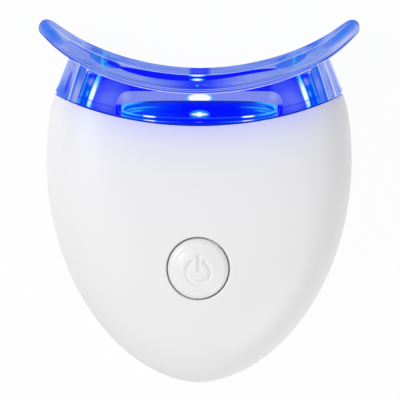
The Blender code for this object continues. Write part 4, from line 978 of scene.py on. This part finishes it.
def neck_paint():
    """Painted light of the neck, by place out from the middle and above its foot: its blue glow,
    the view through its window, streaks of light, highlight lines and dark edges.
    """
    c = lamp_colours()
    p = Paint("neck_clear")
    across, rise, _ = p.axes("place")
    side = p.size(across)
    right = p.step(across, -0.05, 0.05)
    below_plate = p.axes("top")[0]
    grazing = p.facing(0.5)
    light_streak = p.step(p.noise(900.0, 2.0, (1.0, 0.12, 1.0)), 0.45, 0.62)
    low = p.step(rise, 0.0060, 0.0015)
    high = p.step(below_plate, 0.0060, 0.0024)
    wall = p.step(side, 0.900, 0.914)
    window = p.step(side, 0.846, 0.856)
    seam = p.inside(rise, -0.0001, 0.00014, 0.00005)
    joint = p.inside(below_plate, -0.0005, 0.00020, 0.00006)
    shine = p.inside(below_plate, 0.00030, 0.00042, 0.00006)
    # Painted lines of light: white highlight lines, blue lines and a deep blue streak.
    edge_line = p.product(p.inside(side, 0.952, 0.962, 0.002), right)
    white_line = p.largest(p.inside(side, 0.9035, 0.9100, 0.0015), edge_line)
    dark_line = p.product(p.inside(side, 0.884, 0.913, 0.003), right)
    dark_line = p.largest(p.inside(side, 0.884, 0.897, 0.003), dark_line)
    deep_streak = p.product(
        p.inside(side, 0.930, 0.950, 0.006),
        p.inside(rise, 0.0014, 0.0062, 0.0012),
        p.rest(p.product(right, 0.7)),
    )
    # Painted view through the window: the lit parts behind it, bluer near the foot and near the
    # plate.
    view = p.layers(c.haze, (0.7, c.pale), (high, 0.8, c.azure), (low, right, 0.8, c.azure))
    colour = p.layers(
        c.deep,
        (window, view),
        (wall, 0.95, p.mixed(p.between(light_streak, 0.5, 0.95), c.haze, c.pale)),
        (wall, low, p.between(right, 0.8, 0.2), c.azure),
        (deep_streak, 0.75, c.deep),
        (dark_line, 0.85, c.azure),
        (white_line, 0.85, c.shine),
        (shine, 0.9, c.shine),
        (joint, 0.7, c.azure),
        (seam, 0.95, c.edge),
        # Painted dark edges where the surface turns from the eye.
        (p.step(grazing, 0.90, 1.0), 0.85, c.edge),
    )
    lines = p.product(p.largest(white_line, dark_line, shine), 0.85)
    panes = p.largest(p.product(window, 0.82), p.product(wall, 0.95))
    strips = p.largest(lines, seam, p.product(joint, 0.7))
    alpha = p.largest(p.ramp(grazing, 0.30, 0.95, 0.010, 0.85), panes, strips)
    return p.lit(colour, alpha)


class LAMP_OT_light_sleeve(Operator):
    """Makes the thick clear sleeve round the lamp"""

    bl_idname = "lamp.light_sleeve"
    bl_label = "Light Sleeve"

    def execute(self, context):
        base_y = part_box("light_tunnel")[0].y
        knee_y = TAIL_Y + lamp_sizes().seam + 0.0039
        edge, bends = 0.0012, 6
        outer, foot, foot_height = (0.02277, 0.0080), 0.02467, 0.0082
        bore, bore_height, square = 0.02157, 0.0069, 7

        def level(y):
            return lambda *_: y

        def top(fall):
            return lambda x, z: plate_back(x, z) - 0.0004 - fall

        rings = []
        for i in range(bends + 1):
            bend = math.pi / 2 * i / bends
            inset, fall = edge * (1 - math.sin(bend)), edge * (1 - math.cos(bend))
            rings.append(section(outer[0] - inset, outer[1] - inset / 2, top(fall)))
        rings += [section(foot, foot_height, level(y)) for y in (knee_y, base_y)]
        for half_width, half_height, station in (
            (bore, bore_height, level(base_y)),
            (bore, bore_height, level(knee_y)),
            (0.01937, 0.0068, top(0.0003)),
            (0.01960, 0.0070, top(0.0)),
        ):
            rings.append(section(half_width, half_height, station, square, square))
        bm = loft(rings, 288, end="joined")

        def place(vert):
            x, y, z = vert.co
            out = abs(x) + 0.34 * max(y - knee_y, 0.0)
            return out, y - base_y, (z - middle_z()) / foot_height

        store(bm, "place", place)
        store_top(bm)
        new_piece("light_sleeve", bm, sleeve_paint(), "lamp", ("light_tunnel",), 40)
        return {"FINISHED"}


def sleeve_paint():
    """Painted light of the sleeve, by place out from the middle, above its foot and up: its blue
    glow, a lens-shaped highlight, glints and dark edges.
    """
    c = lamp_colours()
    p = Paint("sleeve_clear")
    out, rise, height = p.axes("place")
    below_plate = p.axes("top")[0]
    grazing = p.facing(0.5)
    front = p.step(height, -0.55, -0.25)
    light_ripple = p.step(p.noise(420.0, 2.0, (1.0, 0.5, 1.0)), 0.42, 0.62)
    thick = p.step(out, 0.0213, 0.0217)
    # Painted glow of the far wall, with a patch of reflected light.
    far = p.layers(
        c.deep,
        (0.05, c.violet),
        (p.spot((out, rise), (0.0186, 0.0062), (0.0042, 0.0044), 0.7), 0.75, c.violet),
        (p.spot((out, rise), (0.0186, 0.0058), (0.0026, 0.0024)), 0.3, c.pale),
        (light_ripple, 0.08, c.violet),
    )
    # A lens-shaped painted highlight along the inside of the side wall.
    lens_half = p.product(p.spot((rise,), (0.0078,), (0.0044,)), 0.00056)
    lens = p.less(lens_half, p.size(p.less(out, 0.0219)))
    side = p.layers(
        c.azure,
        (p.step(rise, 0.0060, 0.0040), 0.25, c.violet),
        (light_ripple, 0.25, c.deep),
        (p.step(below_plate, 0.0030, 0.0014), 0.7, c.deep),
        (p.spot((out, below_plate), (0.0230, 0.0024), (0.0009, 0.0010), 0.6), 0.8, c.pale),
        (p.inside(out, 0.0232, 0.0238, 0.0002), 0.35, c.deep),
        (p.spot((out, rise), (0.0229, 0.0078), (0.0003, 0.0007)), 0.9, c.cyan),
        (p.inside(out, 0.0239, 0.0242, 0.0001), 0.5, c.cyan),
        (p.step(out, 0.0241, 0.0246), 0.9, c.edge),
        (p.inside(lens, -0.00032, -0.00012, 0.00006), 0.8, c.deep),
        (p.step(lens, -0.00010, 0.00004), c.cyan),
        (p.step(lens, 0.00006, 0.00026), p.inside(rise, 0.0055, 0.0098, 0.0014), c.spark),
    )
    colour = p.mixed(p.largest(thick, p.step(lens, -0.0001, 0.0)), far, side)
    # Painted dark edges where the surface turns from the eye.
    colour = p.layers(colour, (p.step(grazing, 0.85, 1.0), 0.7, c.edge))
    clear = p.ramp(grazing, 0.35, 1.0, 0.010, 0.5)
    opaque = p.largest(p.rest(front), thick, p.step(lens, -0.0002, 0.0))
    return p.lit(colour, p.largest(clear, p.product(opaque, 0.98)))


class LAMP_OT_lamp_block(Operator):
    """Paints the lamp's blue light on the pale block behind the dish"""

    bl_idname = "lamp.lamp_block"
    bl_label = "Lamp Block"

    def execute(self, context):
        c = lamp_colours()
        seam = TAIL_Y + lamp_sizes().seam
        p = Paint("block_pale")
        x, y, z = p.axes()
        side = p.size(x)
        wall = p.step(z, BACK_Z + 0.0078, BACK_Z + 0.0062)
        soft = p.ramp(p.noise(220.0), 0.3, 0.7, 0.0, 0.3)
        cheek = p.step(z, BACK_Z + 0.0066, BACK_Z + 0.0074)
        flange = p.step(y, seam + 0.0010, seam - 0.0002)

        def glint(*radii):
            return p.step(p.spot((x, y), (0.0, seam + 0.0046), radii), 0.0, 0.5)

        # All painted light: the blue glow on the wall and cheeks, uneven violet light, a painted
        # highlight near the wall's side and the lamp's glint.
        colour = p.layers(
            c.deep,
            (wall, p.mixed(0.4, c.pale, c.haze)),
            (wall, soft, 0.4, c.violet),
            (wall, p.spot((side, y), (0.0150, seam + 0.0049), (0.0014, 0.0012)), 0.5, c.haze),
            (p.step(side, 0.0150, 0.0156), cheek, c.deep),
            (p.step(side, 0.0175, 0.0200), flange, c.violet),
            (glint(0.0032, 0.00110), wall, c.cyan),
            (glint(0.0026, 0.00100), c.spark),
        )
        set_material(p.lit(colour, 1.0, 0.3), "lamp_housing")
        return {"FINISHED"}


class LAMP_OT_dish(Operator):
    """Makes the oval mirror dish and the led in it"""

    bl_idname = "lamp.dish"
    bl_label = "Dish"

    def execute(self, context):
        s = lamp_sizes()
        turned = Matrix.Rotation(s.dish_tilt - math.pi / 2, 4, "X")
        place = Matrix.Translation((0, TAIL_Y + s.dish_rim, middle_z())) @ turned
        half_wall, lip, flare, corner, bands = 0.0003, 0.0010, 0.0003, 3.5, 28

        def oval(grow, height, size=1.0):
            """A ring of the dish. Its rear half is squarer than its front half."""

            def point(turn):
                across, up = math.cos(turn), math.sin(turn)
                if up > 0:
                    swell = (abs(across) ** corner + up**corner) ** (-1 / corner)
                    across, up = across * swell, up * swell
                x = (s.dish_half_width + grow) * size * across
                return place @ Vector((x, (s.dish_half_height + grow) * size * up, height))

            return point

        def bowl(grow):
            levels = [math.cos(math.pi / 2 * i / bands) for i in range(1, bands)]
            depth = s.dish_depth + grow
            return [oval(grow, -level * depth, math.sqrt(1 - level**2)) for level in levels]

        rings = bowl(-half_wall)
        for grow, share in ((-1, 0), (-1, 0.8), (-0.5, 1), (0.5, 1), (1, 0.8), (1, 0)):
            rings.append(oval(half_wall * grow + flare * share, lip * share))
        rings += reversed(bowl(half_wall))
        bm = loft(rings, 224, "pole", "pole")
        back = place.inverted()

        def mark(vert):
            x, y, z = back @ vert.co
            return x / s.dish_half_width, y / s.dish_half_height, z / s.dish_depth

        store(bm, "place", mark)
        new_piece("mirror_dish", bm, dish_paint(), "lamp", ("reflector",), 50)
        make_led()
        return {"FINISHED"}


def dish_paint():
    """Paint of the dish, by place across it, from front to rear and up it. The mirror's reflections
    of the led are painted into its emission colour: blue glow, streaks and loops of light, glints
    and a dark far rim.
    """
    c = lamp_colours()
    p = Paint("dish_mirror")
    across, rear, level = p.axes("place")
    side = p.size(across)
    back = p.step(rear, -0.10, 0.10)
    front = p.rest(back)
    ends = p.step(side, 0.45, 0.95)
    light_streaks = p.step(p.noise(700.0, 2.0, (0.10, 1.0, 1.0)), 0.45, 0.62)
    top = p.inside(level, 0.165, 0.240, 0.012)
    foot = p.inside(level, -0.045, 0.025, 0.012)
    loop = p.product(p.inside(level, -0.16, -0.09, 0.02), p.step(side, 0.70, 0.86))
    glow, flare, star = (
        p.spot((across, level), (0.0, -0.33), radii, power)
        for radii, power in (((0.15, 0.20), 1.2), ((0.125, 0.045), 1.0), ((0.050, 0.10), 1.0))
    )
    shines = p.product(p.spot((side,), (0.655,), (0.10,)), p.largest(top, foot), front)
    # Painted reflections of the led's light.
    colour = p.layers(
        c.deep,
        (ends, 0.75, c.azure),
        (light_streaks, p.ramp(side, 0.2, 0.8, 0.0, 0.5), c.azure),
        (loop, 0.9, c.cyan),
        (foot, p.ramp(side, 0.2, 0.9, 0.20, 0.85), front, c.cyan),
        (foot, ends, back, 0.8, c.cyan),
        (top, back, p.step(side, 0.95, 0.70), c.edge),
        (top, front, 0.45, c.azure),
        (top, p.step(side, 0.66, 0.98), 0.95, c.cyan),
        (p.step(shines, 0.0, 0.9), c.spark),
        (glow, back, c.cyan),
        (p.step(p.largest(star, flare), 0.0, 0.5), back, c.spark),
        (p.spot((across,), (0.0,), (0.06,)), foot, front, c.spark),
    )
    return p.set(
        Base_Color=(0.004, 0.01, 0.06),
        Metallic=1.0,
        Roughness=0.2,
        Emission_Color=colour,
        Emission_Strength=1.0,
    )


def make_led():
    """A small round lens on a collar, which looks towards the mouth."""
    c = lamp_colours()
    low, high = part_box("led")
    z, radius, collar, collar_y = (low.z + high.z) / 2, 0.0015, 0.0019, low.y + 0.001
    profile = [(collar, low.y), (collar, collar_y), (radius, collar_y)]
    for i in range(9):
        bend = i * math.pi / 18
        profile.append((radius * math.cos(bend), high.y - radius + radius * math.sin(bend)))
    bm = upright(profile, 0.0, 0.0, 64)
    for vert in bm.verts:
        vert.co = (vert.co.x, vert.co.z, z - vert.co.y)
    p = Paint("led_glow")
    glow = p.spot(p.axes(), (0.0, high.y, z), (0.0022, 0.0030, 0.0022))
    p.lit(p.layers(c.azure, (glow, c.cyan), (p.step(glow, 0.35, 0.9), c.spark)), 1.0, 0.1)
    new_piece("led_lens", bm, p.material, "lamp", ("led",), 40)


class LAMP_OT_battery_door(Operator):
    """Makes the sliding battery door and the three screws in the back"""

    bl_idname = "lamp.battery_door"
    bl_label = "Battery Door"

    def execute(self, context):
        s = lamp_sizes()
        start = TAIL_Y + s.door
        grip_radius, grip_length, grip_start, grip_step = 0.00042, 0.010, 0.003, 0.0014
        end = start + s.door_length
        bm = door_bar(0.0, BACK_Z - OVERRUN, BACK_Z + DOOR_WALL, start, end)
        white = casing_paint("door_white")
        door = new_piece("bay_door", bm, white, "door", ("battery_door",))
        combine(door, back_form(s.gap), "INTERSECT")
        bm = bmesh.new()
        for i in range(5):
            place = Matrix.Translation((0, start + grip_start + i * grip_step, BACK_Z + s.gap))
            bmesh.ops.create_cone(
                bm,
                cap_ends=True,
                segments=24,
                radius1=grip_radius,
                radius2=grip_radius,
                depth=grip_length,
                matrix=place @ Matrix.Rotation(math.pi / 2, 4, "Y"),
            )
        soften(combine(door, bm))
        make_screw_heads()
        return {"FINISHED"}


def make_screw_heads():
    """A low round head with a cross slot on each screw."""
    steel = metal_paint("screw_steel", (0.72, 0.72, 0.74), 0.28, 900.0)
    head, shank, head_height, point = 0.0021, 0.0011, 0.0013, 0.0012
    slot_half, slot_half_width, slot_depth, slot_turn = 0.0014, 0.00028, 0.0006, 0.4
    crown = ((0.0004, 0.0), (0.0012, 0.00003), (0.0017, 0.00012), (0.0020, 0.00030))
    for name, (x, y, low, high) in zip(SCREWS, screw_seats()):
        profile = [(radius, low + height) for radius, height in crown]
        profile += [(head, low + 0.00055), (head, low + head_height), (shank, low + head_height)]
        profile += [(shank, high - point), (0.0002, high)]
        bm = upright(profile, x, y, 64)
        thing = new_piece(f"{name}_head", bm, steel, "lamp", (name,))
        turned = Matrix.Rotation(slot_turn, 3, "Z")
        for across, along in ((slot_half, slot_half_width), (slot_half_width, slot_half)):
            corner = (x + across, y + along, low + slot_depth)
            bm = box((x - across, y - along, low - OVERRUN), corner)
            bmesh.ops.rotate(bm, verts=bm.verts, cent=(x, y, 0), matrix=turned)
            combine(thing, bm)
        soften(thing)


class LAMP_OT_inner_parts(Operator):
    """Gives the parts inside the casing their finishes"""

    bl_idname = "lamp.inner_parts"
    bl_label = "Inner Parts"

    def execute(self, context):
        bright = ("led_lead_left", "led_lead_right")
        bright += ("contact_positive", "contact_negative", "switch_cover")
        black = ("switch_body", "switch_plunger", "timer_chip")
        for name, colour, roughness, scale, nodes in (
            ("bright_steel", (0.72, 0.72, 0.74), 0.28, 900.0, bright),
            ("cell_steel", (0.78, 0.78, 0.79), 0.2, 400.0, ("coin_cell_lower", "coin_cell_upper")),
            ("can_aluminium", (0.6, 0.61, 0.63), 0.35, 1200.0, ("capacitor",)),
        ):
            set_material(metal_paint(name, colour, roughness, scale), *nodes)
        grainy("board_varnish", (0.02, 0.14, 0.06), (0.04, 0.24, 0.11), 1800.0, "circuit_board")
        grainy("black_resin", (0.012, 0.012, 0.013), (0.035, 0.035, 0.036), 3000.0, *black)
        grainy("brown_ceramic", (0.08, 0.05, 0.04), (0.16, 0.11, 0.08), 2400.0, "resistor")
        return {"FINISHED"}


def metal_paint(name, colour, roughness, scale):
    """Metal with fine rolling marks."""
    p = Paint(name)
    marks = p.noise(scale, 3.0)
    darker = tuple(value * 0.8 for value in colour)
    rough = p.ramp(marks, 0.2, 0.8, roughness * 0.8, roughness * 1.3)
    return p.set(Base_Color=p.mixed(marks, darker, colour), Metallic=1.0, Roughness=rough)


def grainy(name, dark, light, scale, *nodes):
    """A matt finish with a fine grain."""
    p = Paint(name)
    grain = p.noise(scale, 3.0)
    rough = p.ramp(grain, 0.2, 0.8, 0.4, 0.55)
    set_material(p.set(Base_Color=p.mixed(grain, dark, light), Roughness=rough), *nodes)


def set_material(material, *names):
    """Paints parts that keep their own shapes."""
    for name in names:
        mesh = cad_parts[name].data
        mesh.materials.clear()
        mesh.materials.append(material)


class LAMP_OT_stage(Operator):
    """Makes the white floor, the soft lights and the camera"""

    bl_idname = "lamp.stage"
    bl_label = "Stage"

    def execute(self, context):
        scene = context.scene
        scene.view_settings.view_transform = "Standard"
        bm = bmesh.new()
        bmesh.ops.create_grid(bm, x_segments=1, y_segments=1, size=3.0)
        bmesh.ops.translate(bm, vec=(0, 0, BACK_Z - 0.0001), verts=bm.verts)
        new_piece("floor", bm, floor_paint(), body=None)
        make_world(scene)
        make_light("key", (-0.23, 0.10, 0.31), 0.17, 0.69)
        make_light("fill", (0.26, -0.31, 0.26), 0.26, 0.62)
        make_camera(scene)
        return {"FINISHED"}


def floor_paint():
    """White paper, which looks evenly bright to the camera and in reflections."""
    p = Paint("floor_white")
    path = p.add("LightPath")
    rays = [path.outputs[f"Is {kind} Ray"] for kind in ("Camera", "Glossy", "Transmission")]
    shade = p.ramp(p.noise(3.0), 0.3, 0.7, 0.89, 0.91)
    grey = p.add("CombineColor", {0: shade, 1: shade, 2: shade}).outputs[0]
    p.set(Base_Color=grey, Roughness=0.9, Specular_IOR_Level=0.0)
    white = p.add("Emission", {"Color": (1, 1, 1), "Strength": 1.0})
    seen = p.product(p.largest(*rays), 0.95)
    blend = p.add("MixShader", {0: seen, 1: p.shader.outputs[0], 2: white.outputs[0]})
    p.put(p.tree.nodes["Material Output"].inputs["Surface"], blend.outputs[0])
    return p.material


def make_world(scene):
    """Even white light, which is brighter where the camera sees it."""
    world = bpy.data.worlds.new("studio")
    world.use_nodes = True
    nodes = Nodes(world.node_tree)
    path = nodes.add("LightPath")
    seen = nodes.largest(path.outputs["Is Camera Ray"], path.outputs["Is Transmission Ray"])
    back = nodes.tree.nodes["Background"]
    nodes.put(back.inputs["Strength"], nodes.between(seen, 0.46, 1.0))
    nodes.put(back.inputs["Color"], (1, 1, 1))
    scene.world = world


def make_light(name, place, size, power):
    """A square soft light that looks at the lamp."""
    light = bpy.data.lights.new(name, "AREA")
    light.shape = "SQUARE"
    light.size = size
    light.energy = power
    thing = bpy.data.objects.new(name, light)
    thing.location = place
    thing.rotation_euler = (-Vector(place)).to_track_quat("-Z", "Y").to_euler()
    bpy.context.scene.collection.objects.link(thing)


def make_camera(scene):
    """Looks at the front face from far away, so that 0.080 m fill the picture."""
    yaw, pitch, distance, seen, film = math.radians(1.0), math.radians(4.0), 1.8, 0.080, 36
    target = Vector((0.00018, 0.0, middle_z()))
    level = math.cos(pitch)
    away = Vector((math.sin(yaw) * level, math.sin(pitch), math.cos(yaw) * level))
    camera = bpy.data.cameras.new("camera")
    camera.sensor_width = film
    camera.lens = film * distance / seen
    camera.clip_start, camera.clip_end = 0.01, 10
    thing = bpy.data.objects.new("camera", camera)
    thing.location = target + away * distance
    right = Vector((0, 1, 0)).cross(away).normalized()
    up = away.cross(right)
    thing.rotation_euler = Matrix((right, up, away)).transposed().to_euler()
    scene.collection.objects.link(thing)
    scene.camera = thing


OPERATORS = (
    LAMP_OT_stage,
    LAMP_OT_casing,
    LAMP_OT_button,
    LAMP_OT_lip_plate,
    LAMP_OT_neck,
    LAMP_OT_light_sleeve,
    LAMP_OT_lamp_block,
    LAMP_OT_dish,
    LAMP_OT_battery_door,
    LAMP_OT_inner_parts,
)


class LAMP_PT_panel(Panel):
    """Lists the lamp's steps"""

    bl_idname = "LAMP_PT_panel"
    bl_label = "Teeth Whitening Lamp"
    bl_space_type = "VIEW_3D"
    bl_region_type = "UI"
    bl_category = "Lamp"

    def draw(self, context):
        for operator in OPERATORS:
            self.layout.operator(operator.bl_idname)


CLASSES = (LampSizes, LampColours, *OPERATORS, LAMP_PT_panel)


def register():
    for item in CLASSES:
        bpy.utils.register_class(item)
    bpy.types.Scene.lamp_sizes = PointerProperty(type=LampSizes)
    bpy.types.Scene.lamp_colours = PointerProperty(type=LampColours)


def unregister():
    del bpy.types.Scene.lamp_colours
    del bpy.types.Scene.lamp_sizes
    for item in reversed(CLASSES):
        bpy.utils.unregister_class(item)


def main():
    register()
    for operator in OPERATORS:
        group, name = operator.bl_idname.split(".")
        getattr(getattr(bpy.ops, group), name)()


if __name__ == "__main__":
    main()
